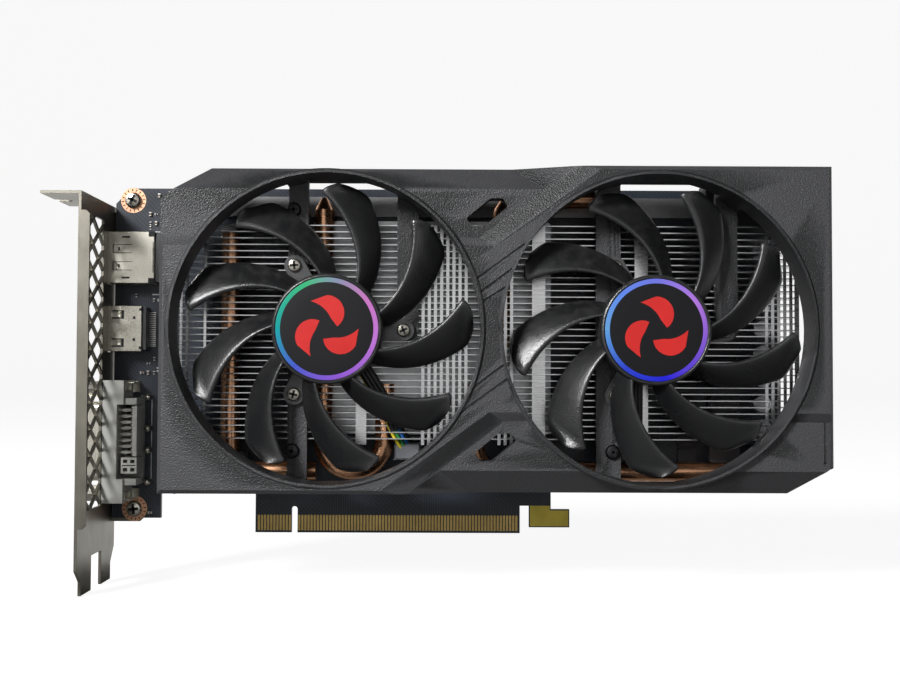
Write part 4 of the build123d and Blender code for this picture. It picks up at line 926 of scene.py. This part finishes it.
# Ring colours by share of a turn, counted from -X through -Z (the lower side) to +X and +Z
LABEL_HUES = {
    "left": [(0.0, (0.01, 0.30, 0.32)), (0.14, (0.06, 0.10, 0.55)), (0.28, (0.26, 0.10, 0.62)),
             (0.45, (0.45, 0.16, 0.60)), (0.60, (0.50, 0.16, 0.45)), (0.72, (0.20, 0.24, 0.35)),
             (0.82, (0.04, 0.38, 0.16)), (1.0, (0.01, 0.30, 0.30))],
    "right": [(0.0, (0.10, 0.30, 0.62)), (0.14, (0.03, 0.06, 0.60)), (0.28, (0.02, 0.02, 0.70)),
              (0.45, (0.22, 0.10, 0.65)), (0.60, (0.42, 0.18, 0.68)), (0.75, (0.14, 0.16, 0.66)),
              (0.88, (0.10, 0.22, 0.70)), (1.0, (0.12, 0.32, 0.62))],
}


# ------------------------------------------------------------------ screws

def cross_screw(radius, height):
    """Pan-head screw, its head's underside at height 0."""
    shape = bmesh.new()
    lathe(shape, [(0, height), (radius * 0.45, height), (radius * 0.8, height * 0.86),
                  (radius * 0.96, height * 0.55), (radius, height * 0.2), (radius, 0), (0, 0)], 32)
    return shape


def cross_recess_shade(radius, height):
    """Dark cross of painted shade that sits in a screw's head where its recess would be."""
    shape = bmesh.new()
    for width, length in ((0.17, 0.62), (0.62, 0.17)):
        add_box(shape, place(-radius * width, -radius * length, height - 0.25),
                place(radius * width, radius * length, height + 0.015))
    return shape


def put_screws(name, spots, radius, height, finish, slot, node, skew):
    """Cross-head screws at the given (x, z, height) spots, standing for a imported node."""
    points = [place(x, z, h) for x, z, h in spots]
    turn = {"Seed": SEED, "Quarters": 1, "Skew": skew}
    heads = copies(SPOTS, cross_screw(radius, height), {**turn, "Finish": finish}, name, "card", slot, points)
    # Painted shade: dark crosses in the shadow finish stand for the shaded cross recesses
    copies(SPOTS, cross_recess_shade(radius, height), {**turn, "Finish": SHADOW}, name + "_recesses", "card", slot,
           points)
    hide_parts(node)


# ------------------------------------------------------------------ cooler

FIN_SHEET = 0.28
FIN_PITCH = 2.0
FIN_COUNT = 34
# Folded tabs on the front edge of every fin, as (left, width)
FIN_TABS = ([(x, 0.8) for x in (-33.8, -31.9, -26.4)]
            + [(41.0 + 1.9 * i, 0.95) for i in range(8)]
            + [(64.6 + 1.9 * i, 0.95) for i in range(3)]
            + [(147.4 + 1.9 * i, 0.95) for i in range(5)]
            + [(x, 4.1) for x in (75.2, 107.0)] + [(20.8, 3.3), (156.6, 1.4)])


def fin_pattern(low, high, front, rear):
    """One fin: a thin sheet whose front edge carries short tabs folded down to the next fin."""
    shape = bmesh.new()
    add_box(shape, (low.x, -front, 0), (high.x, -rear, FIN_SHEET))
    for left, width in FIN_TABS:
        add_box(shape, (left, -front, -(FIN_PITCH - FIN_SHEET)), (left + width, -front + FIN_SHEET, 0.0))
    return shape


def build_fins():
    low, high = low_high("fin_stack")
    rear, front = heights("fin_stack")
    fins = copies(ROW, fin_pattern(low, high, front, rear + 0.1),
                  {"Count": FIN_COUNT, "Start": Vector((0, 0, low.z)) * MM,
                   "Step": Vector((0, 0, FIN_PITCH)) * MM, "Finish": FINISHES["fin_aluminium"]},
                  "fins", "card", "fin_aluminium", smooth=0)
    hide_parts("fin_stack")


def build_springs():
    low, high = low_high("retention_springs")
    rear, front = heights("retention_springs")
    radius = 2.2
    spots = [place(x, z, front) for x in (low.x + 2.6, high.x - 2.6) for z in (low.z + 2.6, high.z - 2.6)]
    springs = grow(host_of(spots), SPRING,
                   {"Turns": 5.0, "Radius": radius * MM, "Length": (front - rear) * MM, "Wire": 0.33 * MM,
                    "Finish": FINISHES["spring_steel"]}, "coil_springs", "card")
    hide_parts("retention_springs")


# ------------------------------------------------------------------ fan leads

# Leads run from the motor's base in a black sleeve, then bare into the plug, as (x, z, height) points
LEAD_ROUTES = {
    "left": [(22.6, 53.6, 20.9), (23.4, 52.6, 19.0), (28.2, 45.0, 19.0), (31.6, 38.6, 18.6),
             (33.4, 34.0, 17.4), (35.0, 31.0, 16.0), (36.6, 28.6, 14.0)],
    "right": [(107.0, 51.2, 20.9), (107.0, 49.8, 19.0), (107.0, 40.0, 19.0), (107.0, 32.5, 17.6),
              (107.0, 28.0, 14.0)],
}
SLEEVED_POINTS = {"left": 5, "right": 4}
LEAD_COLOURS = {
    "left": [("yellow", (0.72, 0.56, 0.03)), ("green", (0.03, 0.26, 0.07)), ("blue", (0.02, 0.17, 0.55)),
             ("black", (0.013, 0.013, 0.014))],
    "right": [(f"black_{i}", (0.013, 0.013, 0.014)) for i in range(4)],
}
LEAD_SPACING = 1.2
LEAD_RADIUS = 0.52
SLEEVE_RADIUS = 0.98


def lead_curve(route, shift):
    """Smooth path of one lead beside its neighbours."""
    points = []
    for index, (x, z, height) in enumerate(route):
        ahead = Vector(route[min(index + 1, len(route) - 1)]) - Vector(route[max(index - 1, 0)])
        side = Vector((-ahead.y, ahead.x)).normalized()
        points.append(place(x + side.x * shift, z + side.y * shift, height))
    data = bpy.data.curves.new("path", "CURVE")
    data.dimensions = "3D"
    line = data.splines.new("NURBS")
    line.points.add(len(points) - 1)
    for knot, point in zip(line.points, points):
        knot.co = (*(point * MM), 1)
    line.order_u = 3
    line.use_endpoint_u = True
    line.resolution_u = 8
    host = bpy.data.objects.new("path", data)
    bpy.context.scene.collection.objects.link(host)
    return host


def build_leads(side):
    """Four leads of one fan, with three black sleeves over their first stretch."""
    route = LEAD_ROUTES[side]
    black = FINISHES["lead_sleeve"]
    for index, (colour_name, colour) in enumerate(LEAD_COLOURS[side]):
        bare = moulded(f"{side}_lead_{colour_name}", colour, 0.4, 2500, 0.1, 0.1, 0.1)
        host = lead_curve(route, (index - 1.5) * LEAD_SPACING)
        lead = grow(host, SLEEVE, {"Radius": LEAD_RADIUS * MM, "Finish": bare},
                    f"{side}_fan_lead_{colour_name}", "card")
        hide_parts(f"{side}_fan_leads")
    for index, shift in enumerate((-1.15, 0, 1.15)):
        host = lead_curve(route[:SLEEVED_POINTS[side]], shift)
        grow(host, SLEEVE, {"Radius": SLEEVE_RADIUS * MM, "Finish": black},
             f"{side}_fan_lead_sleeve_{index}", "card")


# ------------------------------------------------------------------ board details

def build_contacts():
    """Gold fingers on both faces of the tongue, with rounded upper ends."""
    low, high = low_high("edge_contacts")
    board_front = heights("circuit_board")[1]
    for face_name, turn in (("front", 1), ("back", -1)):
        for part, first, count in (("short", low.x + 0.35, 11), ("long", 1.5, 71)):
            shape = bmesh.new()
            outline = [(-0.35, low.z), (0.35, low.z)]
            outline += [(0.35 * math.cos(math.pi * i / 6), high.z - 0.35 + 0.35 * math.sin(math.pi * i / 6))
                        for i in range(7)]
            add_prism(shape, outline, turn * (board_front - 0.02), turn * (board_front + 0.06))
            fingers = copies(ROW, shape, {"Count": count, "Start": Vector((first, 0, 0)) * MM,
                                          "Step": Vector((1, 0, 0)) * MM,
                                          "Finish": FINISHES["contact_gold"]},
                             f"{face_name}_{part}_fingers", "card", "contact_gold", smooth=0)
            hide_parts("edge_contacts")


def build_screw_pads():
    """Copper ground rings with dark marks round the two bracket screws."""
    board_front = heights("circuit_board")[1]
    for name, (x, z) in zip(("upper", "lower"), screw_spots("bracket_screws", 2)):
        ring = bmesh.new()
        lathe(ring, [(2.0, board_front + 0.05), (4.05, board_front + 0.05), (4.1, board_front - 0.02),
                     (2.0, board_front - 0.02)], 48)
        here = Vector((x, 0, z)) * MM
        finish_piece(f"{name}_ground_ring", moved(mesh_of("ring", ring), here), COPPER_PAD, "card")
        mark = bmesh.new()
        add_box(mark, place(3.0, -0.13, board_front), place(3.75, 0.13, board_front + 0.09), 0.03)
        copies(RING, mark, {"Count": 16, "Centre": here, "First": 0.1, "Finish": SHADOW},
               f"{name}_ground_marks", "card", "contact_gold", smooth=0)


PAD_CLEARANCE = 5.0
SMALL_PART_ZONES = (
    # (left, right, low, high, share of the grid that holds a part)
    (-48.5, -37.6, 97.5, 104.5, 0.6),
    (-47.6, -37.6, 105.0, 110.0, 0.35),
    (-56.5, -37.6, 74.0, 78.2, 0.4),
    (-44.4, -37.6, 57.5, 73.0, 0.3),
    (-50.5, -37.6, 50.5, 56.5, 0.45),
    (-43.5, -37.6, 12.0, 49.0, 0.22),
    (-55.0, -44.0, 5.5, 9.0, 0.2),
)


def small_part_spots(zones, seed, pitch_x=1.9, pitch_z=1.5):
    """Grid spots that hold small board parts, split at random between two kinds."""
    dice = random.Random(seed)
    kinds = ([], [])
    screws = screw_spots("bracket_screws", 2)
    for left, right, low, high, share in zones:
        for column in range(int((right - left) / pitch_x)):
            for row in range(int((high - low) / pitch_z)):
                x = left + pitch_x * (column + 0.5)
                z = low + pitch_z * (row + 0.5)
                nearest = min(math.hypot(x - screw_x, z - screw_z) for screw_x, screw_z in screws)
                clear = nearest > PAD_CLEARANCE
                if dice.random() < share and clear:
                    kinds[dice.random() < 0.45].append((x, z))
    return kinds


def build_small_parts(prefix, zones, level, direction, seed):
    """Chip resistors and capacitors with tinned ends on one face of the board."""
    resistors, capacitors = small_part_spots(zones, seed)
    for kind, spots, size, finish in (("resistors", resistors, (1.1, 0.55, 0.35), CHIP_BLACK),
                                      ("capacitors", capacitors, (1.3, 0.75, 0.7), CAP_BROWN)):
        long, wide, tall = size
        core = bmesh.new()
        add_box(core, (-long * 0.28, 0, -wide / 2 + 0.03), (long * 0.28, -direction * tall, wide / 2 - 0.03))
        ends = bmesh.new()
        for sign in (-1, 1):
            add_box(ends, (sign * long * 0.26, 0, -wide / 2),
                    (sign * long / 2, -direction * (tall + 0.02), wide / 2), 0.05, 1)
        points = [place(x, z, level) for x, z in spots]
        turn = {"Seed": seed, "Quarters": 1, "Skew": 0.03}
        copies(SPOTS, core, {**turn, "Finish": finish}, f"{prefix}_{kind}", "card", "chip_black", points)
        copies(SPOTS, ends, {**turn, "Finish": TINNED}, f"{prefix}_{kind}_ends", "card", "pin_tin", points)


# Outline of the locking hook as (x, z) corners, and how far its plating stops short of them
HOOK_CORNERS = ((75.55, 1.9), (88.6, 1.9), (88.6, 7.7), (82.6, 7.7), (82.6, 9.2), (75.55, 9.2))
HOOK_MIDDLE = (82.0, 5.0)
PLATING_INSET = 0.35


def build_hook_plating():
    """Gold plating on both faces of the locking hook."""
    board_front = heights("circuit_board")[1]
    for face_name, turn in (("front", 1), ("back", -1)):
        shape = bmesh.new()
        outline = [(x - math.copysign(PLATING_INSET, x - HOOK_MIDDLE[0]),
                    z - math.copysign(PLATING_INSET, z - HOOK_MIDDLE[1])) for x, z in HOOK_CORNERS]
        add_prism(shape, outline, turn * (board_front - 0.02), turn * (board_front + 0.05))
        finish_piece(f"{face_name}_hook_plating", mesh_of("plating", shape), HOOK_GOLD, "card",
                     0)


def build_port_details():
    """Spring tabs, slots and seams on the two video cans; the slots, slits and tab openings are dark pieces
    of painted shade.
    """
    # Painted shade: dark pieces that stand for the shaded slots, slits and openings in the cans
    dark = bmesh.new()
    metal = bmesh.new()
    low, high = low_high("displayport_shell")
    top = heights("displayport_shell")[1]
    centre_z = (low.z + high.z) / 2
    for sign in (-1, 1):
        slot_z = centre_z + sign * 6.5
        slot_shape = [(-54.6 + 0.33 * math.cos(t * math.pi / 4) + (2.0 if t in (-2, -1, 0, 1, 2) else 0.0),
                       slot_z + 0.33 * math.sin(t * math.pi / 4)) for t in range(-2, 6)]
        add_prism(dark, slot_shape, top - 0.1, top + 0.02)
        add_tongue(dark, metal, -57.6, -51.6, centre_z + sign * 2.75, (2.6, 1.7), top)
    for low_z, high_z in ((high.z - 1.7, high.z + 0.02), (low.z - 0.02, low.z + 1.7)):
        add_box(dark, place(high.x - 1.9, low_z, top - 0.3), place(high.x + 0.03, high_z, top + 0.02))
    add_box(dark, place(high.x - 0.55, low.z + 3.4, top - 0.3),
            place(high.x - 0.25, high.z - 3.4, top + 0.015))
    low, high = low_high("hdmi_shell")
    top = heights("hdmi_shell")[1]
    for sign in (-1, 1):
        tab_z = (low.z + high.z) / 2 + sign * 4.5
        add_box(dark, place(-58.0, tab_z - 1.35, top - 0.2),
                place(-54.2, tab_z + 1.35, top + 0.015), 0.08, 1)
        add_box(metal, place(-58.3, tab_z - 0.95, top - 0.2), place(-55.0, tab_z + 0.95, top + 0.10), 0.09)
        add_box(metal, place(-56.3, tab_z - 0.7, top - 0.1), place(-55.3, tab_z + 0.7, top + 0.28), 0.14)
        add_box(dark, place(-51.4, tab_z - sign * 1.0 - 0.45, top - 0.2),
                place(-50.6, tab_z - sign * 1.0 + 0.45, top + 0.015), 0.05, 1)
        add_box(dark, place(high.x - 0.8, tab_z + sign * 1.6 - 0.4, top - 0.2),
                place(high.x + 0.02, tab_z + sign * 1.6 + 0.4, top + 0.015), 0.05, 1)
    finish_piece("port_slots", mesh_of("port_slots", dark), SHADOW, "card", 0)
    finish_piece("port_spring_tabs", mesh_of("port_spring_tabs", metal), FINISHES["port_steel"], "card")


def add_tongue(dark, metal, start, end, z, widths, top):
    """Tapering spring tongue, with a slit along each side and a pressed dimple at its free end; the slits and
    the hollow past the dimple are dark pieces of painted shade.
    """
    cut = 0.2
    for side in (-1, 1):
        near = z + side * widths[0] / 2
        far = z + side * widths[1] / 2
        add_prism(dark, [(start, near - cut / 2), (end, far + side * 0.5 - cut / 2),
                         (end, far + side * 0.5 + cut / 2), (start, near + cut / 2)], top - 0.1, top + 0.02)
    add_box(dark, place(start - cut, z - widths[0] / 2 - cut / 2, top - 0.1),
            place(start + cut / 2, z + widths[0] / 2 + cut / 2, top + 0.02))
    add_box(metal, place(start + 0.5, z - 0.75, top - 0.1), place(start + 1.5, z + 0.75, top + 0.22), 0.12)
    add_box(dark, place(start + 1.6, z - 0.55, top - 0.1), place(start + 2.1, z + 0.55, top + 0.02))


DVI_ROWS = 8
DVI_PITCH = 1.9
DVI_LEG_XS = (-51.95, -51.2, -50.45)
DVI_LEG_HEIGHTS = (4.2, 6.7, 9.2)
DVI_PEG_ZS = (16.2, 26.4, 33.4, 43.4)
DVI_LUG_ZS = ((46.9, 1), (12.4, -1))


def contact_blade(leg_x, height, foot):
    """Contact that swells along its middle, then drops to the board."""
    shape = bmesh.new()
    start = -54.5
    outline = [(start, -0.2), (start + 0.5, -0.26), (start + 1.6, -0.5), (start + 2.2, -0.5), (leg_x, -0.3),
               (leg_x, 0.3), (start + 2.2, 0.5), (start + 1.6, 0.5), (start + 0.5, 0.26), (start, 0.2)]
    add_prism(shape, outline, height - 0.2, height + 0.2)
    add_box(shape, place(leg_x - 0.2, -0.3, foot), place(leg_x + 0.2, 0.3, height + 0.2))
    return shape


def build_dvi_details():
    """Contacts, comb teeth, sheet-metal lugs and round pegs of the wide video connector."""
    low, high = low_high("dvi_contacts")
    board_front = heights("circuit_board")[1]
    first_row = (low.z + high.z) / 2 - DVI_PITCH * (DVI_ROWS - 1) / 2
    for name, leg_x, height in zip(("low", "middle", "high"), DVI_LEG_XS, DVI_LEG_HEIGHTS):
        blades = copies(ROW, contact_blade(leg_x, height, board_front),
                        {"Count": DVI_ROWS, "Start": Vector((0, 0, first_row)) * MM,
                         "Step": Vector((0, 0, DVI_PITCH)) * MM, "Finish": BRIGHT_TIN},
                        f"dvi_{name}_contacts", "card", "pin_tin", smooth=0)
        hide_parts("dvi_contacts")
    teeth = bmesh.new()
    add_box(teeth, place(-50.2, -0.28, 8.6), place(-49.1, 0.28, 10.95), 0.08, 1)
    add_box(teeth, place(-49.15, -0.55, 10.7), place(-48.55, 0.55, 11.0), 0.06, 1)
    copies(ROW, teeth, {"Count": DVI_ROWS, "Start": Vector((0, 0, first_row + 0.95)) * MM,
                        "Step": Vector((0, 0, DVI_PITCH)) * MM, "Finish": FINISHES["dvi_grey"]},
           "dvi_comb_teeth", "card", "dvi_grey", smooth=0)
    lugs = bmesh.new()
    for z, sign in DVI_LUG_ZS:
        add_box(lugs, place(-52.5, z - 1.9, board_front), place(-50.2, z + 1.7, board_front + 0.5), 0.1)
        fold = z + sign * 1.3
        add_box(lugs, place(-52.5, fold - 0.25, board_front), place(-50.4, fold + 0.25, 8.6), 0.1)
        add_box(lugs, place(-52.5, z - 1.2, 5.0), place(-52.0, z + 1.2, 10.2), 0.1)
    finish_piece("dvi_board_lugs", mesh_of("lugs", lugs), FINISHES["port_steel"], "card")
    low, high = low_high("dvi_board_pegs")
    peg_front = heights("dvi_board_pegs")[1]
    radius = (high.x - low.x) / 2
    peg = bmesh.new()
    lathe(peg, [(0, peg_front), (radius * 0.5, peg_front - 0.12), (radius * 0.85, peg_front - 0.45),
                (radius, peg_front - 1.0), (radius, board_front), (0, board_front)], 28)
    spots = [place((low.x + high.x) / 2, z, 0) for z in DVI_PEG_ZS]
    pegs = copies(SPOTS, peg, {"Seed": SEED, "Quarters": 1, "Skew": 0.0, "Finish": FINISHES["screw_nickel"]},
                  "dvi_round_pegs", "card", "pin_tin", spots)
    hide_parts("dvi_board_pegs")


PRINTED_BARS = (
    # (left, low, width, height)
    (-45.0, 52.6, 2.8, 0.4), (-45.0, 51.6, 1.9, 0.4), (-43.4, 54.6, 0.7, 0.7), (-42.2, 54.6, 0.7, 0.7),
    (-46.8, 76.4, 3.0, 0.4), (-57.0, 96.9, 14.0, 0.2), (-43.2, 57.4, 0.2, 16.0), (-41.8, 110.0, 2.2, 0.3),
    (-41.9, 104.6, 0.3, 3.6), (-46.5, 17.0, 0.22, 26.6), (-50.0, 43.6, 3.5, 0.22),
)


def build_board_print():
    """Short white printed bars and corner marks, with no lettering."""
    board_front = heights("circuit_board")[1]
    shape = bmesh.new()
    for x, z, wide, tall in PRINTED_BARS:
        add_box(shape, place(x, z, board_front - 0.01), place(x + wide, z + tall, board_front + 0.03))
    finish_piece("board_print_marks", mesh_of("print", shape), PRINT, "card", 0)


def build_plug(side):
    """Fan plug with rounded edges, a latch and four wire slots."""
    low, high = low_high(f"{side}_fan_plug")
    centre = (low + high) / 2
    rear, front = heights(f"{side}_fan_plug")
    shape = bmesh.new()
    half_x = (high.x - low.x) / 2
    half_z = (high.z - low.z) / 2
    add_box(shape, place(-half_x, -half_z, rear), place(half_x, half_z, front - 0.4), 0.35)
    add_box(shape, place(-half_x + 0.4, -half_z + 0.4, front - 1.0),
            place(half_x - 0.4, half_z - 0.4, front), 0.2)
    for index in range(4):
        x = (index - 1.5) * 2 * half_x / 4.6
        add_box(shape, place(x - 0.3, half_z - 0.3, rear + 0.8),
                place(x + 0.3, half_z - 0.02, front - 0.6), 0.08)
    add_box(shape, place(-1.2, -half_z + 0.02, rear + 0.6), place(1.2, -half_z + 0.5, front - 0.8), 0.15)
    here = Vector((centre.x, 0, centre.z)) * MM
    plug = finish_piece(f"{side}_fan_plug_body", moved(mesh_of("plug", shape), here), FINISHES["plug_grey"],
                        "card")
    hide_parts(f"{side}_fan_plug")


def screw_spots(node, count):
    """(x, z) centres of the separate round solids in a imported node, found from its vertices."""
    data = nodes[node].data
    parent = list(range(len(data.vertices)))

    def root(i):
        while parent[i] != i:
            parent[i] = parent[parent[i]]
            i = parent[i]
        return i

    seen = {}
    for vertex in data.vertices:
        key = tuple(round(c, 6) for c in vertex.co)
        if key in seen:
            parent[root(vertex.index)] = root(seen[key])
        else:
            seen[key] = vertex.index
    for edge in data.edges:
        parent[root(edge.vertices[0])] = root(edge.vertices[1])
    groups = {}
    for vertex in data.vertices:
        groups.setdefault(root(vertex.index), []).append(vertex.co)
    spots = []
    for corners in groups.values():
        xs = [c.x for c in corners]
        zs = [c.z for c in corners]
        spots.append(((min(xs) + max(xs)) / 2 / MM, (min(zs) + max(zs)) / 2 / MM))
    assert len(spots) == count, (node, len(spots))
    return sorted(spots)


def build_screws():
    """Cross-head screws that hold the bracket, the fan motors and the shroud."""
    board_front = heights("circuit_board")[1]
    for name, node, count, head, radius, finish, skew in (
            ("bracket_cross_screws", "bracket_screws", 2, 1.9, 2.6, "screw_nickel", 0.9),
            ("motor_cross_screws", "fan_screws", 6, 1.3, 2.1, "screw_nickel", 0.5),
            ("shroud_cross_screws", "shroud_screws", 4, 1.4, 2.3, "screw_black", 0.6)):
        front = heights(node)[1]
        spots = [(x, z, front - head) for x, z in screw_spots(node, count)]
        slot = frame_slot(node)
        put_screws(name, spots, radius, head, FINISHES[finish], slot, node, skew)


def frame_slot(node):
    """The record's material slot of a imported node."""
    for row in frame["record"]["subparts"]:
        if row["node"] == node:
            return row["material_slot"]
    return None


REAR_PART_ZONES = (
    (20.0, 68.0, 38.0, 84.0, 0.16),
    (-30.0, 16.0, 30.0, 96.0, 0.10),
    (72.0, 120.0, 24.0, 98.0, 0.12),
    (124.0, 150.0, 24.0, 94.0, 0.14),
    (-40.0, 120.0, 14.5, 21.0, 0.14),
)
SOLDER_ROWS = (
    # (first x, first z, step x, step z, count) of soldered pins that come through the board
    (-51.95, 26.15, 0.0, 1.9, 8), (-51.2, 26.15, 0.0, 1.9, 8), (-50.45, 26.15, 0.0, 1.9, 8),
    (133.9, 100.5, 4.8, 0.0, 4), (133.9, 105.1, 4.8, 0.0, 4),
    (148.3, 32.5, 0.0, 8.0, 9), (151.3, 32.5, 0.0, 8.0, 9),
    (136.5, 32.5, 0.0, 12.0, 6), (139.5, 32.5, 0.0, 12.0, 6),
    (-57.0, 81.0, 0.0, 13.8, 2), (-47.0, 81.0, 0.0, 13.8, 2), (-57.0, 59.0, 0.0, 12.6, 2),
    (-50.0, 59.0, 0.0, 12.6, 2),
)


REAR_PRINTED_BARS = (
    # (left, low, width, height)
    (-20.0, 100.5, 40.0, 0.3), (-20.0, 26.0, 0.3, 60.0), (84.0, 22.8, 0.3, 66.0),
    (84.0, 22.6, 38.0, 0.3), (4.0, 34.6, 8.0, 0.6), (96.0, 104.0, 12.0, 0.6),
)


def build_rear_details():
    """Solder domes, small parts and plain marks on the back of the board."""
    board_rear = -heights("circuit_board")[0]
    build_small_parts("rear", REAR_PART_ZONES, -board_rear, -1, 11)
    dome = bmesh.new()
    lathe(dome, [(0, -0.62), (0.3, -0.55), (0.5, -0.3), (0.85, -0.06), (0.95, 0.03), (0, 0.03)], 14)
    spots = [place(x + dx * i, z + dz * i, -board_rear) for x, z, dx, dz, count in SOLDER_ROWS
             for i in range(count)]
    copies(SPOTS, dome, {"Seed": SEED, "Quarters": 1, "Skew": 0.5, "Finish": TINNED}, "rear_solder_domes",
           "card", "pin_tin", spots)
    marks = bmesh.new()
    for x, z, wide, tall in REAR_PRINTED_BARS:
        add_box(marks, place(x, z, -board_rear - 0.03), place(x + wide, z + tall, -board_rear + 0.01))
    finish_piece("rear_print_marks", mesh_of("marks", marks), PRINT, "card", 0)


# ------------------------------------------------------------------ build

bpy.context.scene.view_settings.view_transform = "Standard"
add_camera()
add_world()
add_stage()
add_softbox("key_light", (-0.62, -0.98, 0.66), (0.03, 0, 0.06), (0.30, 0.30), 18)
add_softbox("front_light", (0.0, -1.55, 0.34), (0.05, 0, 0.06), (1.3, 0.8), 1.9)
add_softbox("fill_light", (0.95, -1.05, 0.25), (0.06, 0, 0.05), (0.5, 0.7), 1.2)

paint_nodes()
softened_copy("shroud", "shroud_shell", 0.3, "shroud_black", 9.0)
softened_copy("slot_bracket", "bracket_sheet", 0.14, "bracket_nickel", segments=1)
softened_copy("dvi_housing", "dvi_housing_body", 0.25, "dvi_grey")
softened_copy("displayport_shell", "displayport_can", 0.3, "port_steel")
softened_copy("hdmi_shell", "hdmi_can", 0.3, "port_steel")
for fan_side in ("left", "right"):
    build_fan(fan_side)
    build_leads(fan_side)
    build_plug(fan_side)
build_screws()
build_fins()
build_springs()
build_contacts()
build_screw_pads()
build_small_parts("front", SMALL_PART_ZONES, heights("circuit_board")[1], 1, 3)
build_port_details()
build_dvi_details()
build_hook_plating()
build_board_print()
build_rear_details()
